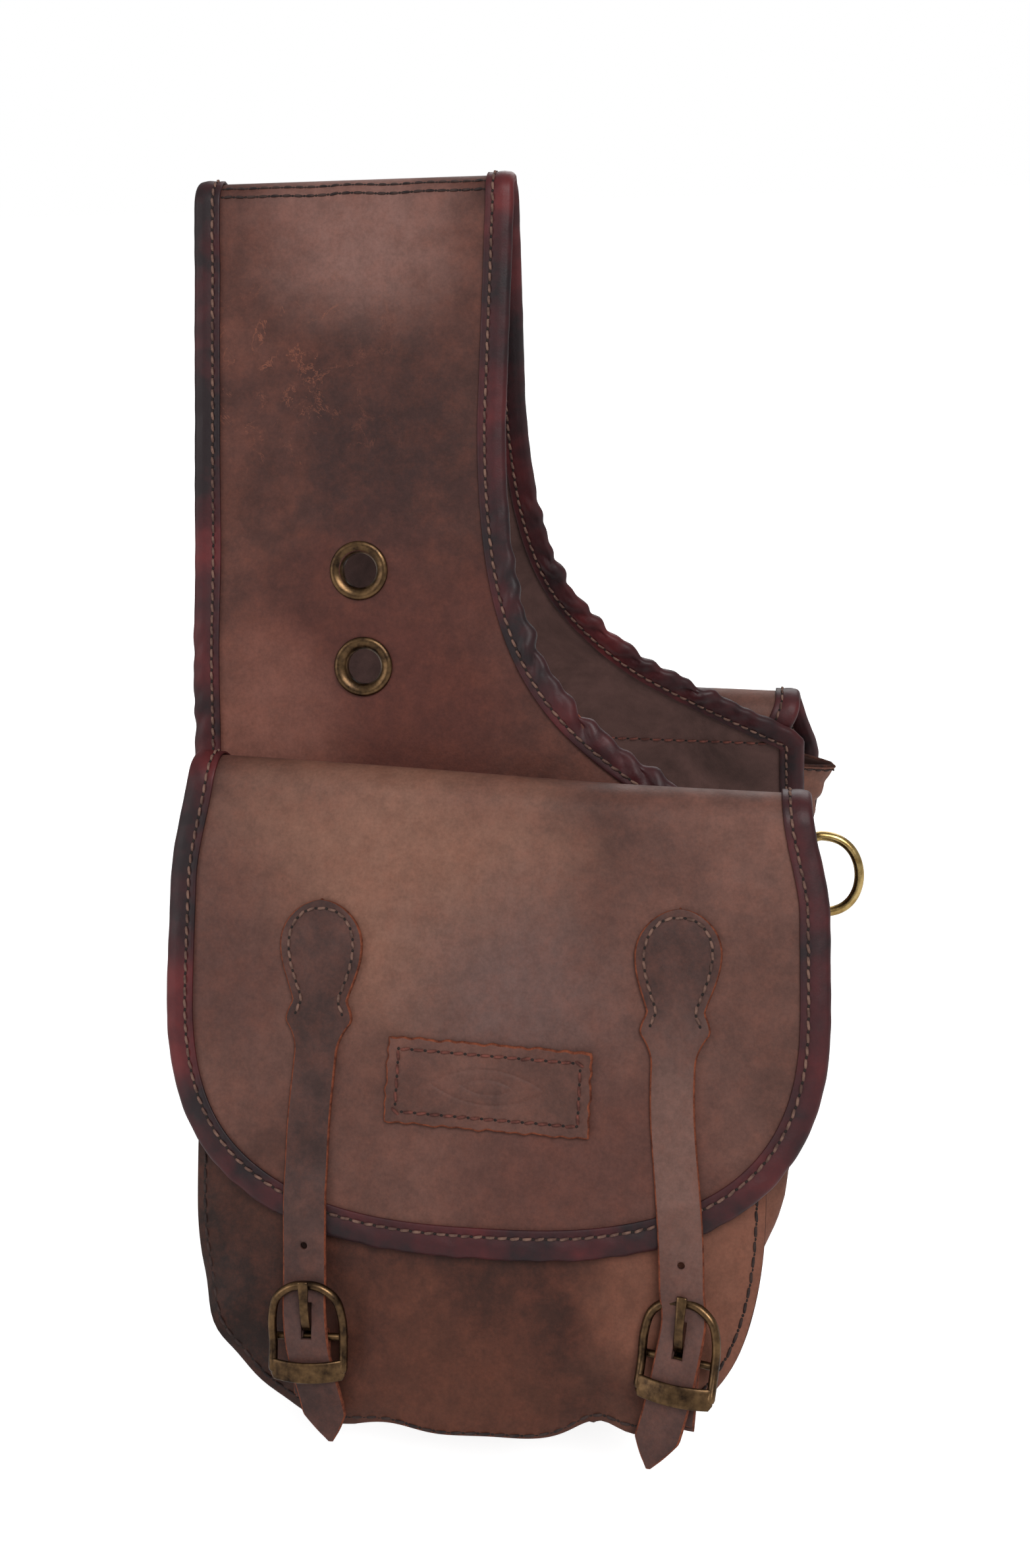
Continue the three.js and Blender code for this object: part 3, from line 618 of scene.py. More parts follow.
def glazed_binding(name):
    """Polished burgundy binding, dabbed nearly black in places."""
    f = Finish(name)
    dabs = f.mix(0.35, f.noise(48, 3, 0.5, 0.3), f.noise(17, 4, 0.6))
    black = colour(30, 17, 20)
    wine = colour(62, 22, 25)
    red = colour(92, 32, 33)
    f.set(color=f.ramp(dabs, (0.42, black), (0.54, wine), (0.68, red)), specular=0.28)
    f.set(roughness=f.ramp(f.noise(14, 4), (0.35, 0.44), (0.65, 0.58)), coat=0.05, coat_roughness=0.35)
    f.relief(f.noise(4, 4, 0.6), 0.25, 0.5)
    f.relief(f.cells(0.9), 0.06, 0.5)
    return f.material


def aged_brass(name, dark, light, roughness):
    """Brass with a brown patina that is rubbed bright in places."""
    f = Finish(name)
    patina = f.mix(0.35, f.noise(9, 3, 0.55), f.noise(2.2, 3, 0.6))
    f.set(color=f.ramp(patina, (0.36, dark), (0.66, light)), metallic=1.0)
    f.set(roughness=f.ramp(f.noise(3, 4, 0.7), (0.3, roughness), (0.7, roughness + 0.16)))
    f.relief(f.noise(1.2, 3, 0.6), 0.04, 0.5)
    return f.material


def waxed_thread(name, dark, light):
    f = Finish(name)
    f.set(color=f.ramp(f.noise(4, 3, 0.6), (0.38, dark), (0.62, light)), roughness=0.75, specular=0.3)
    f.relief(f.noise(0.35, 3, 0.7), 0.15, 0.8)
    return f.material


def on_front(u, h, n=LEATHER):
    """A place on the front half, for a spot in its leather."""
    return tuple(FRONT.at((u, n, h)))


EDGE = raw_edge("raw_edge", colour(74, 36, 25), colour(128, 68, 46))
DARK_EDGE = raw_edge("dark_raw_edge", colour(36, 22, 18), colour(78, 42, 32))
INSIDE = flesh_side("inner_face", colour(60, 41, 37), colour(94, 67, 62))
BINDING = glazed_binding("burgundy_binding")
YOKE = pull_up_leather(
    "yoke_leather", colour(62, 37, 32), colour(80, 49, 42), colour(98, 61, 52), 1,
    (
        (on_front(5, 12), 60, colour(120, 87, 79)),
        (on_front(10, 115), 75, colour(50, 31, 29)),
        (on_front(20, 215), 90, colour(78, 40, 33)),
        (on_front(-48, 232), 55, colour(116, 74, 63)),
    ),
    (on_front(-30, 75), 62),
)
FLAP_LEATHER = pull_up_leather(
    "flap_leather", colour(76, 49, 42), colour(92, 62, 54), colour(110, 76, 66), 4,
    (
        (on_front(30, 285, 36), 90, colour(124, 87, 72)),
        (on_front(-55, 330, 46), 60, colour(82, 54, 48)),
        (on_front(80, 340, 50), 60, colour(98, 74, 69)),
        (on_front(110, 420, 52), 90, colour(84, 52, 45)),
    ),
)
POUCH_LEATHER = pull_up_leather(
    "pouch_leather", colour(44, 25, 19), colour(62, 34, 26), colour(82, 48, 36), 7,
    (
        (on_front(-50, 470, 50), 75, colour(34, 22, 19)),
        (on_front(168, 450, 50), 80, colour(120, 77, 61)),
        (on_front(60, 505, 50), 60, colour(82, 47, 35)),
        (tuple(REAR.at((205, 25, 325))), 60, colour(124, 84, 70)),
    ),
)
STRAP = pull_up_leather(
    "strap_leather", colour(52, 35, 32), colour(70, 49, 45), colour(88, 63, 57), 11,
    ((on_front(145, 400, 52), 75, colour(106, 77, 69)),),
)
PATCH_LEATHER = pull_up_leather(
    "patch_leather", colour(70, 46, 40), colour(86, 58, 51), colour(102, 70, 61), 5,
)
BRASS = aged_brass("antique_brass", colour(48, 37, 30), colour(120, 93, 64), 0.27)
BRIGHT_BRASS = aged_brass("ring_brass", colour(150, 120, 70), colour(214, 186, 126), 0.18)
THREAD = waxed_thread("tan_thread", colour(76, 54, 47), colour(118, 89, 77))
RED_THREAD = waxed_thread("red_thread", colour(70, 36, 30), colour(112, 62, 52))
DARK_THREAD = waxed_thread("dark_thread", colour(32, 22, 22), colour(58, 42, 38))
# painted shade: the near-black finish of the lenses that stand for needle holes
NEEDLE_HOLE_SHADE = waxed_thread("needle_hole", colour(24, 15, 13), colour(36, 24, 20))

# A sheet of leather's outer face, inner face and raw edge.
YOKE_FINISHES = [YOKE, INSIDE, EDGE]
FLAP_FINISHES = [FLAP_LEATHER, INSIDE, EDGE]
POUCH_FINISHES = [POUCH_LEATHER, INSIDE, DARK_EDGE]
STRAP_FINISHES = [STRAP, INSIDE, EDGE]
PATCH_FINISHES = [PATCH_LEATHER, INSIDE, EDGE]
BINDING_FINISHES = [BINDING] * 3


# ---- Seams ------------------------------------------------------------------------------------
THREAD_RADIUS = 0.62
STITCH_SHARE = 0.86  # of the pitch; the rest is the gap to the next stitch
HOLE_RADIUS = 1.15 * THREAD_RADIUS


def stitch_shape(length, radius):
    """One stitch along +x: it rises out of one needle hole and dives into the next."""
    angle = full_turn(8)
    rings = []
    for t in np.linspace(-1, 1, 7):
        size = radius * (1 - 0.55 * abs(t) ** 3)
        y, z = size * np.cos(angle), size * 0.8 * np.sin(angle) + radius * (0.5 - 1.5 * t**4)
        rings.append(np.stack([np.full(8, t * length / 2), y, z], -1))
    return skin(rings)


def hole_shade_shape(radius):
    """A small flat dark lens that stands for a needle hole: its darkness is painted shade."""
    angle = full_turn(8)
    ring = np.stack([radius * np.cos(angle), radius * 0.8 * np.sin(angle), 0.02 + 0 * angle], -1)
    return skin([ring, ring * [0.9, 0.9, 1] + [0, 0, 0.06]])


def seam(name, path, up, pitch=5.0, finish=THREAD, slant=7, closed=False):
    """Stitches, and needle holes as dark lenses of painted shade, along a path of points, standing on the
    side that up points to.
    """
    lengths = arc_lengths(path)
    count = max(int(round(lengths[-1] / pitch)), 1)
    pitch = lengths[-1] / count
    spots = (np.arange(count) + 0.5) * pitch
    holes = np.arange(count if closed else count + 1) * pitch
    random = np.random.default_rng(3)
    turns = np.radians(slant + random.normal(0, 2.5, count))
    stitch = placed(stitch_shape(pitch * STITCH_SHARE, THREAD_RADIUS), path, up, lengths, spots, turns)
    # dark lenses of painted shade at the needle holes
    hole_shade = placed(hole_shade_shape(HOLE_RADIUS), path, up, lengths, holes, np.zeros(len(holes)))
    vertices, faces = joined([stitch, hole_shade])
    indices = [0] * len(stitch[1]) + [1] * len(hole_shade[1])
    return make_piece(name, vertices, faces, [finish, NEEDLE_HOLE_SHADE], indices)


def placed(shape, path, up, lengths, spots, turns):
    """Copies of a shape at spots along a path, each turned by its own angle."""
    points, sides = shape
    centre = read_at(path, lengths, spots)
    along = unit(read_at(path, lengths, spots + 0.8) - read_at(path, lengths, spots - 0.8))
    lift = unit(read_at(up, lengths, spots))
    lift = unit(lift - along * (along * lift).sum(-1, keepdims=True))
    side = np.cross(lift, along)
    cos, sin = np.cos(turns)[:, None], np.sin(turns)[:, None]
    x_axis, y_axis = along * cos + side * sin, side * cos - along * sin
    copies = centre[:, None] + points[None, :, 0:1] * x_axis[:, None]
    copies = copies + points[None, :, 1:2] * y_axis[:, None] + points[None, :, 2:3] * lift[:, None]
    faces = [[v + k * len(points) for v in face] for k in range(len(spots)) for face in sides]
    return copies.reshape(-1, 3), faces


def surface_seam(name, place, u, s, lift, **options):
    """A seam along points (u, s) of a surface, lift above its middle."""
    path = place(u, s, lift)
    sign = 1 if lift > 0 else -1
    return seam(name, path, (place(u, s, lift + sign) - path), **options)


def across_fold(piece):
    """Leather over the fold between the two halves, with its placement baked into its mesh."""
    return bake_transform(piece)


def across_crest(piece, half):
    """Leather over a flap's crest between the half and its flap, with its placement baked into its mesh;
    the crest's axis is worked out but not used.
    """
    start, end = (half.at((FLAP.centre, n, half.flap_hinge)) * MM for n in (8, 30))
    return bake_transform(piece, half.body(), half.body("flap"), tuple(start), tuple(end))


# ---- Yoke panels and their binding ------------------------------------------------------------
FLAT_MIDDLE = LEATHER / 2
FRONT_MIDDLE = FRONT.radius + FLAT_MIDDLE
REAR_MIDDLE = REAR.radius + FLAT_MIDDLE
FRONT_LAP = 80
REAR_LAP = 150
FRONT_LAP_LENGTH = math.radians(FRONT_LAP) * FRONT_MIDDLE
REAR_LAP_LENGTH = math.radians(REAR_LAP) * REAR_MIDDLE
WHOLE_BEND = 180 - FRONT.tilt - REAR.tilt
BEND_START = BACK.bottom + 5  # along the yoke's track, which starts a little below the front bag


def side_points(half, heights):
    """Middle of a panel below the fold, as (h, n) of the world frame."""
    points = half.at(np.stack([0 * heights, 0 * heights + FLAT_MIDDLE, heights], -1))
    return np.stack([-points[:, 2] - PEG_RADIUS, points[:, 1]], -1)


def yoke_track():
    """The whole yoke from the front bag's bottom over the fold to the rear bag's bottom."""
    heights = np.linspace(BEND_START, 1, 300)
    angle = np.linspace(0, WHOLE_BEND, 40)
    radius = FRONT_MIDDLE + (REAR_MIDDLE - FRONT_MIDDLE) * smoothstep(angle, FRONT_LAP, FRONT_LAP + 25)
    turned = np.radians(FRONT.tilt + angle)
    bend = np.stack([-radius * np.sin(turned), -radius * np.cos(turned)], -1)
    return Track(np.concatenate([side_points(FRONT, heights), bend, side_points(REAR, heights[::-1])]))


YOKE_TRACK = yoke_track()
BEND_END = YOKE_TRACK.length - BEND_START


def yoke_height(s):
    """How far below the fold the place at s along the yoke's track is."""
    return np.where(s < BEND_START, BEND_START - s, s - BEND_END)


def panel_ripple(u, s):
    """Gentle unevenness of the back panels, with a soft ridge where the front one leaves the fold."""
    h = yoke_height(s)
    calm = smoothstep(h, 2, 40) * (1 - smoothstep(h, 235, 275))
    loose = 0.9 * waves(u + 0.3 * h, (83, 131), 5) * waves(h - 0.2 * u, (97, 151), 6)
    return calm * loose + 0.5 * bump(h, 15, 8) * (s < BEND_START)


def yoke_at(u, s, lift=0):
    """World points of the yoke, u across, s along its track and lift off its middle."""
    u, s, lift = np.broadcast_arrays(np.asarray(u, float), s, lift)
    return WORLD.at(YOKE_TRACK.at(u, s, lift + panel_ripple(u, s)))


def rear_lap_at(u, s, lift=0):
    """The rear panel: under the front one at the fold, then the same surface as the yoke's."""
    start = math.radians(WHOLE_BEND - REAR_LAP)
    angle = start + np.clip(s, 0, REAR_LAP_LENGTH) / REAR_MIDDLE + math.radians(FRONT.tilt)
    radius = REAR_MIDDLE + lift
    bend = np.stack([u + 0 * angle, -radius * np.cos(angle), radius * np.sin(angle) - PEG_RADIUS], -1)
    flat = yoke_at(u, BEND_END + np.maximum(s - REAR_LAP_LENGTH, 0), lift)
    return np.where((s < REAR_LAP_LENGTH)[..., None], bend, flat)


SCOOP_CONTROLS = ((68, 100), (68, 215), (94, 230), (192, 283))


def scoop_points():
    """The cut-away between yoke and bag, as many points of one cubic curve in (u, h)."""
    t = np.linspace(0, 1, 80)[:, None]
    a, b, c, d = np.array(SCOOP_CONTROLS, float)
    return a * (1 - t) ** 3 + 3 * b * t * (1 - t) ** 2 + 3 * c * t**2 * (1 - t) + d * t**3


SCOOP = scoop_points()
SCOOP_END = SCOOP[-1, 1]
SIDE_TOP = SCOOP_END + 4


def back_left(h):
    return np.where(h < BACK.knee, -YOKE_EDGE, BACK.centre - BACK.half_width(h))


def back_right(h):
    straight = YOKE_EDGE - (YOKE_EDGE - SCOOP[0, 0]) * np.clip(h, 0, SCOOP[0, 1]) / SCOOP[0, 1]
    scoop = np.interp(h, SCOOP[:, 1], SCOOP[:, 0])
    corner = SCOOP[-1, 0] + np.clip(h, SCOOP_END, SIDE_TOP) - SCOOP_END
    side = np.where(h < SIDE_TOP, corner, BACK.centre + BACK.half_width(h))
    return np.where(h < SCOOP[0, 1], straight, np.where(h < SCOOP_END, scoop, side))


def trimmed(edge, sign):
    """An edge moved inwards, square to itself, to where the leather inside the binding ends."""
    return lambda h: edge(h) + sign * TRIM * np.hypot(1, edge(h + 0.5) - edge(h - 0.5))


def rows_to(start, knee, end, step, count):
    """Rows down a bag: evenly spaced to its knee, then closer where its edge runs nearly level."""
    curve = np.sin(np.linspace(0, np.pi / 2, count))
    return np.concatenate([np.arange(start, knee, step), knee + (end - knee) * curve])


PANEL_LEFT = trimmed(back_left, 1)
PANEL_RIGHT = trimmed(back_right, -1)
PANEL_HALF = YOKE_EDGE - TRIM
PANEL_COLUMNS = 56
TONGUE_HALF = 56  # the rear panel is narrower where it lies hidden under the front one


def front_panel(heights):
    """The front panel, from its bottom up to the fold and over it."""
    lap = np.linspace(0, FRONT_LAP_LENGTH, 16)
    rows = np.concatenate([BEND_START - heights[:0:-1], BEND_START + lap])
    left = lambda s: np.where(s > BEND_START, -PANEL_HALF, PANEL_LEFT(BEND_START - s))
    right = lambda s: np.where(s > BEND_START, PANEL_HALF, PANEL_RIGHT(BEND_START - s))
    points = grid(yoke_at, rows, left, right, PANEL_COLUMNS)
    return leather("front_yoke_leather", points, LEATHER, YOKE_FINISHES, turned=True)


def tongue_half(s):
    """Half width of the rear panel's lap, which widens where it comes out from under the front one."""
    hidden = 1 - smoothstep(s, REAR_LAP_LENGTH * 0.52, REAR_LAP_LENGTH * 0.6)
    return PANEL_HALF - (PANEL_HALF - TONGUE_HALF) * hidden


def rear_panel(heights):
    """The rear panel, from under the front one at the fold down to its bottom."""
    lap = REAR_LAP_LENGTH
    rows = np.concatenate([np.linspace(0, lap, 20), lap + heights[1:]])
    left = lambda s: np.where(s < lap, -tongue_half(s), PANEL_LEFT(s - lap))
    right = lambda s: np.where(s < lap, tongue_half(s), PANEL_RIGHT(s - lap))
    points = grid(rear_lap_at, rows, left, right, PANEL_COLUMNS)
    return leather("rear_yoke_leather", points, LEATHER, YOKE_FINISHES, turned=True)


def yoke_panels():
    heights = rows_to(0, BACK.knee, BACK.bottom - TRIM - 1, 3.0, 44)
    for half, panel in ((FRONT, front_panel(heights)), (REAR, rear_panel(heights))):
        ways = [[half.at((u, n, h)) for n in (-6, 10)] for u, h in EYELETS.values()]
        holes = [drum(*way, EYELET_BARREL + GAP) for way in ways]
        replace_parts(across_fold(cut(panel, holes)), half.body("yoke_panel"))


def half_outline():
    """One half's outer edge in (u, h): down the left side, round the bottom and up to the fold."""
    bottom = np.stack(BACK.bottom_curve(90), -1)
    left = np.arange(2, BACK.knee, 3.0)
    side = np.arange(BACK.knee, SIDE_TOP, -3.0)
    scoop = SCOOP[::-1]
    straight = np.arange(SCOOP[0, 1] - 3, 1, -3.0)
    return np.concatenate([
        np.stack([back_left(left), left], -1), bottom, np.stack([back_right(side), side], -1),
        scoop, np.stack([back_right(straight), straight], -1),
    ])


def binding_section():
    """The folded strip's section as (distance in from the edge, lift): one half, then its mirror image."""
    reach = LEATHER / 2 + GAP + BINDING_LEATHER / 2
    flat = np.array([BINDING_WIDTH, 11, 10, 9, 8, 6.5, 5, 4])
    puff = 0.35 * bump(flat, 5.2, 2.2) - 0.2 * bump(flat, 9, 0.9)
    angle = np.radians(np.linspace(90, 0, 7))
    top = np.concatenate([
        np.stack([flat, reach + puff], -1),
        np.stack([reach + BINDING_LEATHER / 2 - reach * np.cos(angle), reach * np.sin(angle)], -1),
    ])
    return np.concatenate([top, (top[:-1] * [1, -1])[::-1]])


def binding_rings(place, u, s, closed, tightness):
    """Rings of a folded strip along an edge; it puckers where tightness is above nothing."""
    outline = np.stack([u, s], -1)
    inward = inwards(outline, closed)
    run = arc_lengths(outline)[:, None]
    section = binding_section()
    e, lift = section[:, 0][None], section[:, 1][None]
    loose = 1 - smoothstep(e, 5.5, 8.6)
    folds = waves(run + 1.2 * e, (11.3, 16.9, 27), 8) + 0.12 * waves(run - 1.3 * e, (7.1, 9.3), 9)
    crush = tightness[:, None] * loose * folds
    outer = np.sqrt(np.clip(1 - e / 3, 0, 1))
    e = e - 1.2 * crush * outer
    lift = lift + np.sign(lift) * 1.05 * crush * (1 - outer)
    flat_u, flat_s = (outline[:, None, k] + inward[:, None, k] * e for k in (0, 1))
    return place(flat_u, flat_s, lift + 0 * flat_u)


def inwards(outline, closed):
    """Directions in (u, s), square to an outline, that point into the leather inside it."""
    step = np.roll(outline, -1, 0) - np.roll(outline, 1, 0) if closed else np.gradient(outline, axis=0)
    u, s = outline.T
    turn = np.sign((u * np.roll(s, -1) - s * np.roll(u, -1)).sum())
    return unit(softened(unit(np.stack([-turn * step[:, 1], turn * step[:, 0]], -1)), 2, closed))


def softened(values, reach, closed):
    """Each row averaged with its neighbours, so that a corner turns over a few rows."""
    padded = np.pad(values, ((reach, reach), (0, 0)), "wrap" if closed else "edge")
    return sum(padded[k:k + len(values)] for k in range(2 * reach + 1))


def even(points, step, closed=False):
    """The same line with a point about every step."""
    points = np.concatenate([points, points[:1]]) if closed else points
    lengths = arc_lengths(points)
    count = int(lengths[-1] / step)
    return read_at(points, lengths, np.linspace(0, lengths[-1], count, endpoint=not closed))


BINDING_STEP = 1.6
BINDING_TOP = LEATHER / 2 + GAP + BINDING_LEATHER  # above the middle of the leather that it folds over


def binding_stitches(name, place, loop, closed):
    """The row of stitches on each face of the binding along a loop of points (u, s)."""
    inset = loop + inwards(loop, closed) * STITCH_INSET
    inset = np.concatenate([inset, inset[:1]]) if closed else inset
    for face, side in (("outer", 1), ("inner", -1)):
        lift = side * (BINDING_TOP + THREAD_LIFT)
        yield surface_seam(f"{name}_{face}_stitches", place, *inset.T, lift, closed=closed)


def yoke_binding():
    outline = half_outline()
    front = np.stack([outline[:, 0], BEND_START - outline[:, 1]], -1)
    rear = np.stack([outline[:, 0], BEND_END + outline[:, 1]], -1)[::-1]
    loop = even(np.concatenate([front, rear]), BINDING_STEP, closed=True)
    u, s = loop.T
    h = yoke_height(s)
    scoop = (u > 60) * smoothstep(h, 120, 200) * (1 - smoothstep(h, 262, 284))
    rub = 0.3 * (u < -60) * smoothstep(h, 175, 215) * (1 - smoothstep(h, 250, 275))
    rings = binding_rings(yoke_at, u, s, True, 0.05 + scoop + rub)
    piece = leather("yoke_binding", rings, BINDING_LEATHER, BINDING_FINISHES, 0.3, closed=True)
    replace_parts(across_fold(piece), "front_edge_binding", "rear_edge_binding")
    for thread in binding_stitches("yoke_binding", yoke_at, loop, True):
        across_fold(thread)


FOLD_ROWS = {"upper": 6.3, "lower": 2.2}  # how far past the start of the bend


def fold_stitches():
    """Two dark rows that hold the lapped panels together, just in front of the crest."""
    u = np.linspace(-YOKE_EDGE + 13, YOKE_EDGE - 13, 60)
    thread = {"finish": DARK_THREAD, "pitch": 5.4, "slant": 2}
    for name, up in FOLD_ROWS.items():
        s = BEND_START + up + 0.3 * waves(u, (31, 47), 2)
        row = surface_seam(f"fold_{name}_stitches", yoke_at, u, s, LEATHER / 2 + THREAD_LIFT, **thread)
        across_fold(row)


# ---- Pouch ------------------------------------------------------------------------------------
FLAP_FRONT = ((290, 37.6), (320, 41.5), (360, 45.8), (400, 50.9), (442, 55.9))
POUCH_FRONT = ((MOUTH, 35.6), (350, 40.5), (400, 46.5), (442, 51.5), (480, 56), (515, 58.5))
POUCH_LINE = spline(POUCH_FRONT, 60)
EDGE_WAVES = ((112, 13, 9), (24, 16, 2), (-38, 11, 2.5), (158, 9, 1.5))  # where, how wide, how deep


def pouch_n(h):
    return np.interp(h, *POUCH_LINE.T)


BAR_N = float(pouch_n(BAR_H)) + LEATHER / 2 + BAR_LIFT


def pouch_at(half, u, h, lift=0):
    """A point of the pouch front: nearly flat, falling back to its seam, with a wavy lower edge."""
    u, h, lift = np.broadcast_arrays(np.asarray(u, float), h, lift)
    across = np.abs(u - POUCH.centre) / POUCH.half
    down = np.clip((h - POUCH.knee) / (POUCH.bottom - POUCH.knee), 0, 1)
    radius = (across**POUCH.power + down**POUCH.power) ** (1 / POUCH.power)
    clear = sum(bump(u, latch.u, 20) for latch in LATCHES)
    below = smoothstep(h, 446, 470)
    soft = below * (1 - np.clip(clear, 0, 1)) * (1.6 * waves(u + 0.4 * h, (61, 89), 21) - 0.4)
    flutter = 2.4 * waves(u + h, (43, 71), 22) * np.clip(radius, 0, 1) ** 8 * (0.3 + 0.7 * below)
    rise = sum(deep * bump(u, where, wide) for where, wide, deep in EDGE_WAVES) * down**4
    n = pouch_n(h) - POUCH_EDGE_DROP * radius**5 + soft + flutter + lift
    return half.at(np.stack([u, n, h - rise], -1))


def round_pouch(shape, inset, t):
    """A point (u, h) on a bag outline: t is 0 left of the mouth, 0.5 at the bottom, 1 on the right."""
    side = 0.18
    sign = np.where(t < 0.5, -1, 1)
    from_mouth = np.minimum(t, 1 - t)
    half = shape.half - inset
    angle = np.clip((from_mouth - side) / (0.5 - side), 0, 1) * np.pi / 2
    power = 2 / shape.power
    deep = shape.bottom - inset - shape.knee
    straight = MOUTH + (shape.knee - MOUTH) * np.minimum(from_mouth / side, 1)
    u = shape.centre + sign * half * np.abs(np.cos(angle)) ** power
    return u, straight + deep * np.sin(angle) ** power


def pouch_front(half):
    place = lambda u, h, lift=0: pouch_at(half, u, h, lift)
    rows = rows_to(MOUTH, POUCH.knee, POUCH.bottom - TRIM, 4.0, 44)
    points = band(place, rows, POUCH.half_width, 80, POUCH.centre)
    piece = leather(f"{half.name}_pouch_leather", points, LEATHER, POUCH_FINISHES, turned=half is REAR)
    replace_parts(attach(piece, half.body()), half.body("pouch_front"))
    line = round_pouch(POUCH, 3.2, np.linspace(0.01, 0.99, 260))
    thread = {"finish": DARK_THREAD, "pitch": 6, "slant": 4}
    row = surface_seam(f"{half.name}_pouch_stitches", place, *line, LEATHER / 2 + THREAD_LIFT, **thread)
    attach(row, half.body())


def gusset_points(half, t):
    """Across the gusset at t round the bag: lip, front corner, belly and foot on the back panel."""
    foot = LEATHER + 3 * GAP + BINDING_LEATHER + 0.6
    lip = pouch_at(half, *round_pouch(POUCH, 1, t), -LEATHER - 0.5)
    corner = pouch_at(half, *round_pouch(POUCH, 6, t), -LEATHER - 1.6)
    back_u, back_h = round_pouch(BACK, 8, t)
    out = (t - 0.5) * 2
    flare = np.where(out < 0, 5 * np.abs(out) ** 8, 12 * out**8 if half is FRONT else 24 * out**2)
    push = np.sign(out) * (8 * np.abs(out) ** 0.5 + flare)
    front_u, front_h = round_pouch(POUCH, 6, t)
    middle_n = (pouch_n(front_h) - POUCH_EDGE_DROP + foot) / 2
    crumple = 1.6 * waves(t * 700, (37, 59, 83), 31) * (1 - np.abs(out) ** 8)
    droop = 7 * np.clip(out, 0, 1) ** 8
    middle_u = (front_u + back_u) / 2 + push + crumple * np.sign(out)
    middle = half.at(np.stack([middle_u, middle_n, (front_h + back_h) / 2 + crumple * 0.6 + droop], -1))
    back = half.at(np.stack([back_u, foot + 0 * t, back_h], -1))
    return np.stack([lip, corner, middle, back], 1)


def gusset(half):
    knots = gusset_points(half, np.linspace(0, 1, 170))
    middle = np.stack([spline(row, 18) for row in knots])
    name = f"{half.name}_gusset_leather"
    piece = leather(name, middle, GUSSET_LEATHER, POUCH_FINISHES, turned=half is FRONT)
    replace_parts(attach(piece, half.body()), half.body("pouch_gusset"))
    across = np.gradient(middle, axis=1)
    normal = unit(np.cross(np.gradient(middle, axis=0), across))
    for side, row, away in (("left", 2, -1), ("right", -3, 1)):
        out = (normal[row] * np.sign(normal[row, :, :1]) * away)[1:-1]
        path = middle[row, 1:-1] + out * (GUSSET_LEATHER / 2 + THREAD_LIFT)
        thread = seam(f"{half.name}_{side}_mouth_stitches", path, out, finish=DARK_THREAD)
        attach(thread, half.body())


# ---- Flap -------------------------------------------------------------------------------------
def flap_track(half):
    """From the sewn root up over the crest and down the front."""
    foot = LEATHER + BINDING_LEATHER + 2 * GAP + LEATHER / 2
    hinge = half.flap_hinge
    root = [(half.root_end, foot), (hinge + 13, foot + 0.3), (hinge + 7, foot + 0.8)]
    bend = arc((hinge, FLAP_HINGE_N), (ROOT_BEND, FLAP_BEND), 168, 6, 12)
    front = [(h, n) for h, n in FLAP_FRONT if h > hinge + 15]
    return Track(spline([*root, *bend, *front], 330))


def flap_half(half, h, s, crest):
    """Half width of the flap: narrow at its root, wider over the crest, then a bag's outline."""
    root = half.crest_half - ROOT_INSET * (1 - smoothstep(s, crest - 42, crest - 4))
    widening = smoothstep(h, half.flap_hinge - FLAP_BEND, half.flap_hinge + FLAP_SHOULDER)
    front = half.crest_half + (FLAP.half - half.crest_half) * widening
    front = np.where(h > half.flap_hinge + FLAP_SHOULDER, FLAP.half_width(h), front)
    return np.where(s < crest, root, front)


def flap_swell(u, h):
    """How far the flap's front stands off its track: a little uneven, and falling back to its sides."""
    swell = 0.7 * waves(u + 0.2 * h, (103, 149), 41) * waves(h, (87, 139), 42)
    return swell - FLAP_EDGE_DROP * np.abs((u - FLAP.centre) / FLAP.half) ** 4


class FlapSurface:
    """The whole flap as one surface: u across, s along it from the sewn root."""

    def __init__(self, half):
        self.half = half
        self.track = flap_track(half)
        self.crest = self.track.lengths[int(np.argmin(self.track.points[:, 0]))]

    def s_at(self, h):
        return self.track.s_at(h)

    def half_width(self, s):
        return flap_half(self.half, self.track.height(s), s, self.crest)

    def __call__(self, u, s, lift=0):
        u, s, lift = np.broadcast_arrays(np.asarray(u, float), s, lift)
        h = self.track.height(s)
        front = smoothstep(s, self.crest, self.crest + 40)
        local = self.track.at(u, s, lift + front * flap_swell(u, h))
        slope = CREST_SLOPE * (u - FLAP.centre) - CREST_RISE
        slope = slope * (1 - smoothstep(h, self.half.flap_hinge + 5, 350))
        sag = 1.2 * bump((u - FLAP.centre) / FLAP.half, 0.35, 0.5)
        sag = sag * (1 - smoothstep(h, self.half.flap_hinge + 5, 320))
        return self.half.at(local + np.stack([0 * slope, 0 * slope, slope + sag], -1))


def flap_outline(surface):
    """The flap's outer edge in (u, s), from the root on the left round to the root on the right."""
    top = np.linspace(0, surface.s_at(FLAP.knee), 120)
    width = surface.half_width(top)
    u, h = FLAP.bottom_curve(90)
    return np.concatenate([
        np.stack([FLAP.centre - width, top], -1), np.stack([u, surface.s_at(h)], -1),
        np.stack([FLAP.centre + width, top], -1)[::-1],
    ])


def flap(half):
    surface = FlapSurface(half)
    rows = rows_to(0, surface.s_at(FLAP.knee), surface.s_at(FLAP.bottom - TRIM - 1), 2.2, 40)
    points = band(surface, rows, trimmed(surface.half_width, -1), 90, FLAP.centre)
    piece = leather(f"{half.name}_flap_leather", points, LEATHER, FLAP_FINISHES, turned=half is REAR)
    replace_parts(across_crest(piece, half), half.body("flap"), half.body("flap_root"))
    flap_binding(half, surface)
    return surface


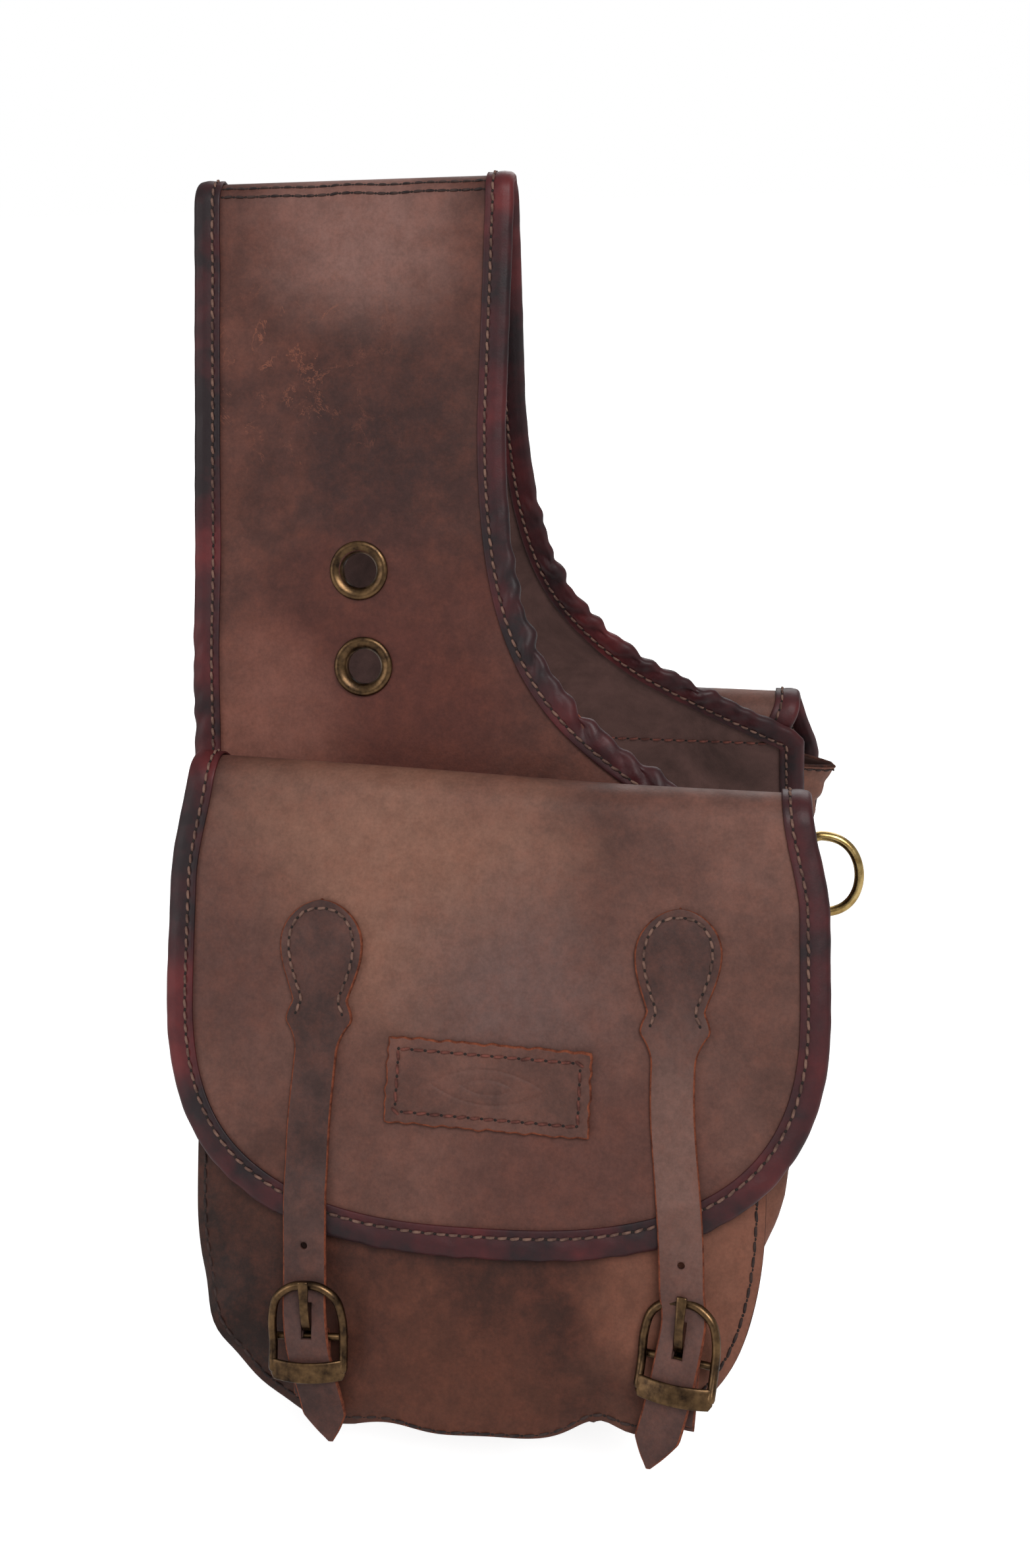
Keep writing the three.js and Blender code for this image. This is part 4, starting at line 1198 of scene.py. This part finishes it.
def flap_binding(half, surface):
    loop = even(flap_outline(surface), BINDING_STEP)
    h = surface.track.height(loop[:, 1])
    tight = 0.07 + 0.12 * smoothstep(h, 380, 430)
    rings = binding_rings(surface, *loop.T, False, tight)
    piece = leather(f"{half.name}_flap_edge", rings, BINDING_LEATHER, BINDING_FINISHES, 0.3)
    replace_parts(across_crest(piece, half), half.body("flap_binding"))
    for thread in binding_stitches(f"{half.name}_flap", surface, loop, False):
        across_crest(thread, half)


def root_stitches(half):
    """The row that sews the flap's root to the back panel, seen on the panel's inner face."""
    reach = half.crest_half - ROOT_INSET - 2
    u = np.linspace(FLAP.centre - reach, FLAP.centre + reach, 80)
    h = half.flap_hinge + (14 if half is FRONT else 1) + 0.03 * (u - FLAP.centre)
    s = BEND_START - h if half is FRONT else BEND_END + h
    thread = {"finish": RED_THREAD, "pitch": 6}
    row = surface_seam(f"{half.name}_root_stitches", yoke_at, u, s, -LEATHER / 2 - THREAD_LIFT, **thread)
    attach(row, half.body())


# ---- Name patch -------------------------------------------------------------------------------
def patch_point(surface, x, y, lift):
    """A point of the patch, x and y from its middle; its upper right corner curls up."""
    turn = math.radians(PATCH["turn"])
    u = PATCH["u"] + x * math.cos(turn) - y * math.sin(turn)
    s = surface.s_at(PATCH["h"]) + x * math.sin(turn) + y * math.cos(turn)
    corner = np.clip((x - y * 1.2) - (PATCH["width"] / 2 + 6), 0, None)
    return surface(u, s, lift + LEATHER / 2 + GAP + 1 + 0.012 * corner**2)


def ornament(x, y):
    """Depth of a plain pressed ornament: a long lens with a smaller one inside it."""
    depth = 0
    for half_length, half_height in ((24, 7), (11, 3)):
        edge = np.abs(np.abs(y) - half_height * (1 - (x / half_length) ** 2)) * (np.abs(x) < half_length)
        depth = depth + np.where(np.abs(x) < half_length, np.exp(-((edge / 0.55) ** 2)), 0)
    return 0.45 * np.clip(depth, 0, 1)


def name_patch(half, surface):
    t, v = np.linspace(-0.5, 0.5, 120), np.linspace(-0.5, 0.5, 56)
    x, y = np.meshgrid(t * PATCH["width"], v * PATCH["height"])
    x = x + 0.35 * waves(y, (5.3, 8.1, 13), 51) * (np.abs(t) * 2) ** 8
    y = y + 0.35 * waves(x, (6.1, 9.7, 17), 52) * (np.abs(v[:, None]) * 2) ** 8
    points = patch_point(surface, x, y, -ornament(x, y))
    thickness = PATCH["thickness"]
    piece = leather(f"{half.name}_patch", points, thickness, PATCH_FINISHES, 0.8, turned=half is REAR)
    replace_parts(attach(piece, half.body("flap")), half.body("name_patch"))
    wide, high = (PATCH[side] / 2 - PATCH["margin"] for side in ("width", "height"))
    corners = np.array([(-wide, -high), (wide, -high), (wide, high), (-wide, high), (-wide, -high)])
    line = even(corners, 1.0)
    path = patch_point(surface, *line.T, thickness / 2 + THREAD_LIFT)
    up = patch_point(surface, *line.T, thickness / 2 + THREAD_LIFT + 1) - path
    thread = seam(f"{half.name}_patch_stitches", path, up, pitch=5.6, finish=RED_THREAD)
    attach(thread, half.body("flap"))


# ---- Latch straps and buckles -----------------------------------------------------------------
def drift(latch, h):
    """How far sideways a latch's strap has wandered at height h."""
    return np.interp(h, *spline(latch.drift, 80).T)


def rotation(turn):
    """A 3 by 3 rotation for degrees about the u, n and h axes, in the order h, n, u."""
    x, y, z = (math.radians(a) for a in turn)
    return np.array(Matrix.Rotation(x, 3, "X") @ Matrix.Rotation(y, 3, "Y") @ Matrix.Rotation(z, 3, "Z"))


def twisted(points, latch, share):
    """Points near the buckle turned with it about the middle of its bar, by a share of the turn."""
    pivot = np.array([latch.u, BAR_N, BAR_H])
    turned = (points - pivot) @ rotation(latch.turn).T + pivot
    share = np.asarray(share)[..., None]
    return points * (1 - share) + turned * share


class StrapSurface:
    """A latch strap: down over the flap, then over the buckle's bar and under its keeper."""

    def __init__(self, half, latch, flap_surface):
        self.half = half
        self.latch = latch
        self.flap = flap_surface
        over = LEATHER / 2 + GAP + STRAP_LEATHER / 2
        on_binding = over + BINDING_LEATHER + 0.9
        on_flap = [(h, over) for h in (STRAP_TOP, 320, 345, 380)]
        on_flap += [(405, over + 0.2), (417, on_binding), (434, on_binding)]
        line = [(h, float(self.flap_n(h)) + lift) for h, lift in on_flap]
        near = [(-28, 1), (-20, 1.3), (-12, 2.9), (0, 5), (10, 3.9), (23, 0.8), (34, -0.6)]
        line += [(BAR_H + below, BAR_N + lift) for below, lift in near]
        self.track = Track(spline([*line, (STRAP_TIP, BAR_N - 1.2)], 260))

    def flap_n(self, h):
        return self.flap.track.at(0, self.flap.s_at(h))[..., 1]

    def __call__(self, u, s, lift=0):
        """u is measured from the strap's own middle."""
        u, s, lift = np.broadcast_arrays(np.asarray(u, float), s, lift)
        h = self.track.height(s)
        across = self.latch.u + drift(self.latch, h) + u
        follow = flap_swell(across, h) * (1 - smoothstep(h, 436, 452))
        cup = 0.012 * u * u * smoothstep(h, 360, 420) * (1 - smoothstep(h, 425, 450))
        local = self.track.at(across, s, lift + follow - cup)
        return self.half.at(twisted(local, self.latch, smoothstep(h, 446, 466)))

    def s_at(self, h):
        return self.track.s_at(h)


NECK_HALF = 11
LOBE_TOP, LOBE_END = 341, 349
LOBE_SWELL = 2.6
POINT_LENGTH = 11


def strap_half(h):
    """Half width down a strap: a spade-shaped sewn head, a neck with two lobes, then a plain tail."""
    top = 17 * np.sqrt(np.clip(1 - ((h - HEAD_CENTRE) / HEAD_RADIUS) ** 2, 0.003, 1)) ** 1.15
    shoulder = NECK_HALF + 6 * np.cos(np.clip((h - HEAD_CENTRE) / 23, 0, 1) * np.pi / 2) ** 1.2
    lobe = NECK_HALF + LOBE_SWELL * np.sin(np.clip((h - LOBE_TOP) / 8, 0, 1) * np.pi / 2)
    swell = NECK_HALF + LOBE_SWELL - STRAP_HALF
    taper = STRAP_HALF + swell * np.clip(1 - (h - LOBE_END) / 13, 0, 1) ** 2
    point = STRAP_HALF * np.clip((STRAP_TIP - h) / POINT_LENGTH, 0.06, 1) ** 0.75
    bounds = (HEAD_CENTRE, LOBE_TOP, LOBE_END, STRAP_TIP - POINT_LENGTH)
    return np.select([h < bound for bound in bounds], [top, shoulder, lobe, taper], point)


def strap_points(surface):
    head = STRAP_TOP + HEAD_RADIUS * (1 - np.cos(np.linspace(0.06, np.pi / 2, 14)))
    rest = np.arange(HEAD_CENTRE + 1.5, STRAP_TIP - 1, 1.5)
    rows = surface.s_at(np.concatenate([head, rest, [STRAP_TIP]]))
    return band(surface, rows, lambda s: strap_half(surface.track.height(s)), 10)


def head_seam_line():
    """Points (u, h) up one side of a strap's head, round its top and down the other side."""
    turn = np.linspace(0, np.pi / 2, 14)
    sides = np.arange(346, HEAD_CENTRE, -1.5)
    h = np.concatenate([sides, HEAD_CENTRE - 14.6 * np.sin(turn)])
    width = np.concatenate([strap_half(sides) - 3.2, 13.8 * np.cos(turn) ** 0.85])
    return np.concatenate([-width, width[::-1][1:]]), np.concatenate([h, h[::-1][1:]])


def strap(half, latch, flap_surface):
    surface = StrapSurface(half, latch, flap_surface)
    name = f"{half.name}_{latch.side}_strap"
    points = strap_points(surface)
    piece = leather(name, points, STRAP_LEATHER, STRAP_FINISHES, 0.8, turned=half is REAR)
    places = [surface.s_at(h) for h in (STRAP_HOLE, SPARE_HOLE)]
    holes = [drum(surface(0, s, -4), surface(0, s, 4), PRONG_HOLE_RADIUS, 16) for s in places]
    cut(piece, [*holes, slot_box(half, latch, (0, 4, -8), (2.2, 7, 7))])
    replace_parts(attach(piece, half.body("flap")), half.body(f"{latch.side}_latch_strap"))
    u, h = head_seam_line()
    lift = STRAP_LEATHER / 2 + THREAD_LIFT
    thread = surface_seam(f"{name}_stitches", surface, u, surface.s_at(h), lift, pitch=4.6)
    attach(thread, half.body("flap"))


def slot_box(half, latch, offset, reach):
    """A box round the prong's way through the leather, as vertices and faces."""
    square = ((-1, -1), (1, -1), (1, 1), (-1, 1))
    corners = np.array([(x, y, z) for z in (-1, 1) for x, y in square], float) * reach
    return skin(list(buckle_point(half, latch, corners + offset).reshape(2, 4, 3)))


def buckle_point(half, latch, points):
    """World points for (u, n, h) measured from the middle of the buckle's bar."""
    local = np.asarray(points, float) + [latch.u, BAR_N, BAR_H]
    return half.at(twisted(local, latch, np.ones(local.shape[:-1])))


def chape(half, latch):
    """The short strap sewn to the pouch that holds the buckle's bar."""
    radius = BAR_RADIUS + GAP + CHAPE_LEATHER / 2
    under = [(BAR_H + 26, BAR_N - 4.2), (BAR_H + 13, BAR_N - 3.3), (BAR_H + 6, BAR_N - radius - 0.1)]
    over = [(BAR_H + 6, BAR_N + 1.4), (BAR_H + 13, BAR_N - 1.2), (BAR_H + 24, BAR_N - 2.1)]
    line = Track(spline([*under, *arc((BAR_H, BAR_N), radius, 180, 0, 12), *over], 120))
    start = np.array([0, BAR_N, BAR_H])
    place = lambda u, s, lift=0: buckle_point(half, latch, line.at(u, s, lift) - start)
    rows = np.linspace(0, line.length, 60)
    points = band(place, rows, lambda s: CHAPE_HALF + 0 * s, 8)
    name = f"{half.name}_{latch.side}_chape"
    piece = leather(name, points, CHAPE_LEATHER, STRAP_FINISHES, 0.4, turned=half is REAR)
    cut(piece, [slot_box(half, latch, (0, 0, -2.5), (2.2, 5, 6))])
    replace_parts(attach(piece, half.body()), half.body(f"{latch.side}_buckle_chape"))


def buckle_frame(half, latch):
    """An arch of wire on a straight bar, with a curved keeper plate across its feet."""
    side = FRAME_HALF
    shoulder = [(side - 2.2, 4, -16.5), (6.5, 4.4, -21.2), (0, 4.4, -22.2)]
    right = [(side, 4.4, 11), (side, 2.6, 2), (side, 3, -8), *shoulder]
    arch = [(-x, n, h) for x, n, h in right] + right[-2::-1]
    ends = [[(x, n, 0) for n in (-0.4, 1.2, 2.8)] for x in (-side, side)]
    bars = [rod(line, BAR_RADIUS) for line in ([(x, 0, 0) for x in (-side, 0, side)], *ends)]
    vertices, faces = joined([rod(spline(arch, 60), WIRE_RADIUS), *bars, keeper()])
    name = f"{half.name}_{latch.side}_buckle"
    piece = make_piece(name, buckle_point(half, latch, vertices), faces, [BRASS])
    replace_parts(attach(piece, half.body(f"{latch.side}_buckle")), half.body(f"{latch.side}_buckle_frame"))


def keeper():
    """The keeper plate: bowed across, thick in the middle and rounded along both edges."""
    angle = full_turn(20)
    rings = []
    for t in np.linspace(-1, 1, 25):
        size = 1 if abs(t) < 0.99 else 0.55
        h = 11.1 + 0.9 * (1 - t * t) + 4.1 * size * np.sign(np.cos(angle)) * np.abs(np.cos(angle)) ** 0.4
        n = 7.2 - 2.8 * t * t + 0.85 * size * np.sign(np.sin(angle)) * np.abs(np.sin(angle)) ** 0.6
        rings.append(np.stack([0 * angle + t * (FRAME_HALF + 0.9), n, h], -1))
    return skin(rings)


def prong(half, latch):
    """The prong: a loop round the bar and a blade whose tip rests on the arch."""
    radius = BAR_RADIUS + GAP + PRONG_THICKNESS / 2
    loop = [(-radius * math.sin(a), radius * math.cos(a)) for a in np.radians(np.linspace(-60, -300, 14))]
    blade = [(-6, 4.9), (-13, 7.3), (-19, 7.7), (-24.6, 7.8)]
    line = Track(spline([*loop[:-3], *blade], 70))
    place = lambda u, s, lift=0: buckle_point(half, latch, line.at(u, s, lift))
    rows = np.linspace(0, line.length, 60)
    points = band(place, rows, lambda s: 1.5 + 0.25 * smoothstep(s, line.length - 8, line.length - 2), 4)
    piece = leather(f"{half.name}_{latch.side}_prong", points, PRONG_THICKNESS, [BRASS] * 3, 0.35)
    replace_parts(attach(piece, half.body(f"{latch.side}_prong")), half.body(f"{latch.side}_buckle_prong"))


# ---- Eyelets, ring and tab --------------------------------------------------------------------
def lathe(name, half, u, h, profile, finish):
    """A closed (radius, n) profile turned about the n direction at (u, h)."""
    radius, n = spline([*profile, profile[0]], 72)[:-1].T
    rings = [np.stack([u + radius * math.cos(a), n, h + radius * math.sin(a)], -1) for a in full_turn(72)]
    vertices, faces = skin([half.at(ring) for ring in rings], closed=True)
    return make_piece(name, vertices, faces, [finish])


def eyelets(half):
    top = LEATHER + 0.5
    flange = [
        (EYELET_HOLE, -1.9), (EYELET_BARREL, -1.9), (EYELET_BARREL, LEATHER), (EYELET_BARREL + 0.6, top),
        (EYELET_FLANGE - 0.8, top), (EYELET_FLANGE, top + 0.3), (EYELET_FLANGE - 0.5, top + 1.1),
        (EYELET_FLANGE - 1.7, top + 1.5), (EYELET_FLANGE - 3, top + 1.2), (EYELET_FLANGE - 4.2, top + 0.5),
        (EYELET_HOLE + 0.5, LEATHER + 0.2), (EYELET_HOLE, LEATHER - 0.8),
    ]
    washer = [(EYELET_BARREL + GAP, -1.7), (EYELET_FLANGE - 1.6, -1.2), (EYELET_FLANGE - 1, -0.5),
              (EYELET_BARREL + GAP, -0.4)]
    for level, (u, h) in EYELETS.items():
        for part, profile in (("eyelet", flange), ("eyelet_washer", washer)):
            node = half.body(f"{level}_{part}")
            piece = lathe(f"{half.name}_{level}_brass_{part}", half, u, h, profile, BRASS)
            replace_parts(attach(piece, half.body()), node)


def ring_path():
    """The D-ring's centreline in (out, n, h): a straight bar and a bow."""
    angle = np.radians(np.linspace(90, -90, 60))
    reach = 2.6 + (RING_REACH - 2.6) * np.abs(np.cos(angle)) ** 0.75
    bow = np.stack([reach, 0 * angle, (RING_HALF_HEIGHT + 1.4) * np.sin(angle)], -1)
    bar = [(0, 0, h) for h in np.linspace(-RING_HALF_HEIGHT, RING_HALF_HEIGHT, 14)]
    return softened(np.concatenate([bar, bow]), 1, True) / 3


def d_ring():
    path = FRONT.at(ring_path() + [RING_U, RING_N, RING_H])
    piece = make_piece("front_brass_ring", *rod(path, RING_WIRE, 20, closed=True), [BRIGHT_BRASS])
    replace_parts(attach(piece, "front_ring"), "front_d_ring")


def ring_tab():
    """A folded leather tab that holds the ring's bar against the panel's edge."""
    radius = RING_WIRE + GAP + CHAPE_LEATHER / 2
    foot = LEATHER + BINDING_LEATHER + 2 * GAP + CHAPE_LEATHER / 2
    upper = foot + CHAPE_LEATHER + GAP
    angle = np.radians(np.linspace(-90, 90, 14))
    loop = np.stack([RING_U + radius * np.cos(angle), RING_N + radius * np.sin(angle)], -1)
    back = [(193, RING_N + 2.4), (188.5, upper + 0.2), (184, upper)]
    path = np.concatenate([[(184, foot), (192, foot)], loop, back])
    heights = RING_H + np.linspace(-6.5, 6.5, 9)
    points = FRONT.at([[(u, n, h) for h in heights] for u, n in spline(path, 60)])
    piece = leather("front_ring_strap", points, CHAPE_LEATHER, STRAP_FINISHES, 0.4)
    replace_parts(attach(piece, "front_half"), "front_d_ring_tab")


# ---- Stage, lights and camera -----------------------------------------------------------------
CAMERA_PLACE = (0.186, -0.815, 0.015)
CAMERA_TURN = (9, 11.9, -2.1)  # left, down and roll, in degrees
LENS = 42.35
SHIFT = (0.0122, -0.155)


def camera():
    """The camera stands a little right of the bag and looks down at it, with a slight roll."""
    yaw, pitch, roll = (math.radians(a) for a in CAMERA_TURN)
    look = Vector((-math.sin(yaw) * math.cos(pitch), math.cos(yaw) * math.cos(pitch), -math.sin(pitch)))
    right = Vector((math.cos(yaw), math.sin(yaw), 0))
    up = right.cross(look)
    rolled_right = math.cos(roll) * right + math.sin(roll) * up
    rolled_up = math.cos(roll) * up - math.sin(roll) * right
    data = bpy.data.cameras.new("camera")
    data.lens, data.sensor_width = LENS, 36
    data.shift_x, data.shift_y = SHIFT
    data.clip_start, data.clip_end = 0.05, 50
    thing = bpy.data.objects.new("camera", data)
    axes = Matrix((rolled_right, rolled_up, -look)).transposed().to_4x4()
    thing.matrix_world = Matrix.Translation(CAMERA_PLACE) @ axes
    bpy.context.scene.collection.objects.link(thing)
    bpy.context.scene.camera = thing


FLOOR_DROP = 0.03  # metres below the object
FLOOR_GLOW = 0.7
LIT_PLACE = (0.06, -0.1, -0.25)
AMBIENT = 0.36
SOFTBOXES = (  # name, position, size, power
    ("key", (1.4, -2.8, 2.6), 1.8, 108),
    ("fill", (-2.8, -2.2, 0.9), 2.4, 36),
    ("back", (0.5, 3.0, 1.8), 2.4, 50),
)


def softbox(name, position, size, power):
    data = bpy.data.lights.new(name, "AREA")
    data.shape, data.size, data.energy = "SQUARE", size, power
    thing = bpy.data.objects.new(name, data)
    thing.location = position
    thing.rotation_mode = "QUATERNION"
    thing.rotation_quaternion = (Vector(LIT_PLACE) - Vector(position)).to_track_quat("-Z", "Y")
    bpy.context.scene.collection.objects.link(thing)


def pale_floor():
    """White paint that also glows a little for the camera only, so that it fades into the backdrop."""
    f = Finish("pale_floor")
    glow = f.maths("MULTIPLY", f.node("LightPath").outputs["Is Camera Ray"], FLOOR_GLOW)
    f.set(color=(0.85, 0.85, 0.85, 1), roughness=0.9, specular=0.0)
    f.feed(f.shader.inputs["Emission Color"], (1, 1, 1, 1))
    f.feed(f.shader.inputs["Emission Strength"], glow)
    return f.material


def studio():
    """A pale floor, soft lights, and surroundings that look white but give less light than that."""
    bpy.context.scene.view_settings.view_transform = "Standard"
    bpy.ops.mesh.primitive_plane_add(size=40, location=(0, 0, CAD_BOX[0].z - FLOOR_DROP))
    floor = bpy.context.object
    floor.name = "floor"
    floor.data.materials.append(pale_floor())
    floor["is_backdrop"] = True
    world = bpy.data.worlds.new("studio")
    world.use_nodes = True
    tree = world.node_tree
    ray = tree.nodes.new("ShaderNodeLightPath")
    strength = tree.nodes.new("ShaderNodeMapRange")
    tree.links.new(ray.outputs["Is Camera Ray"], strength.inputs["Value"])
    strength.inputs["To Min"].default_value = AMBIENT
    tree.links.new(strength.outputs[0], tree.nodes["Background"].inputs["Strength"])
    tree.nodes["Background"].inputs["Color"].default_value = (1, 1, 1, 1)
    bpy.context.scene.world = world
    for box in SOFTBOXES:
        softbox(*box)


# ---- Build ------------------------------------------------------------------------------------
def build():
    camera()
    studio()
    yoke_panels()
    yoke_binding()
    fold_stitches()
    for half in (FRONT, REAR):
        eyelets(half)
        pouch_front(half)
        gusset(half)
        root_stitches(half)
        surface = flap(half)
        name_patch(half, surface)
        for latch in LATCHES:
            strap(half, latch, surface)
            chape(half, latch)
            buckle_frame(half, latch)
            prong(half, latch)
    d_ring()
    ring_tab()


build()
boxes = {"cad": CAD_BOX, "visual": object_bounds()}
{name: [list(corner) for corner in box] for name, box in boxes.items()}
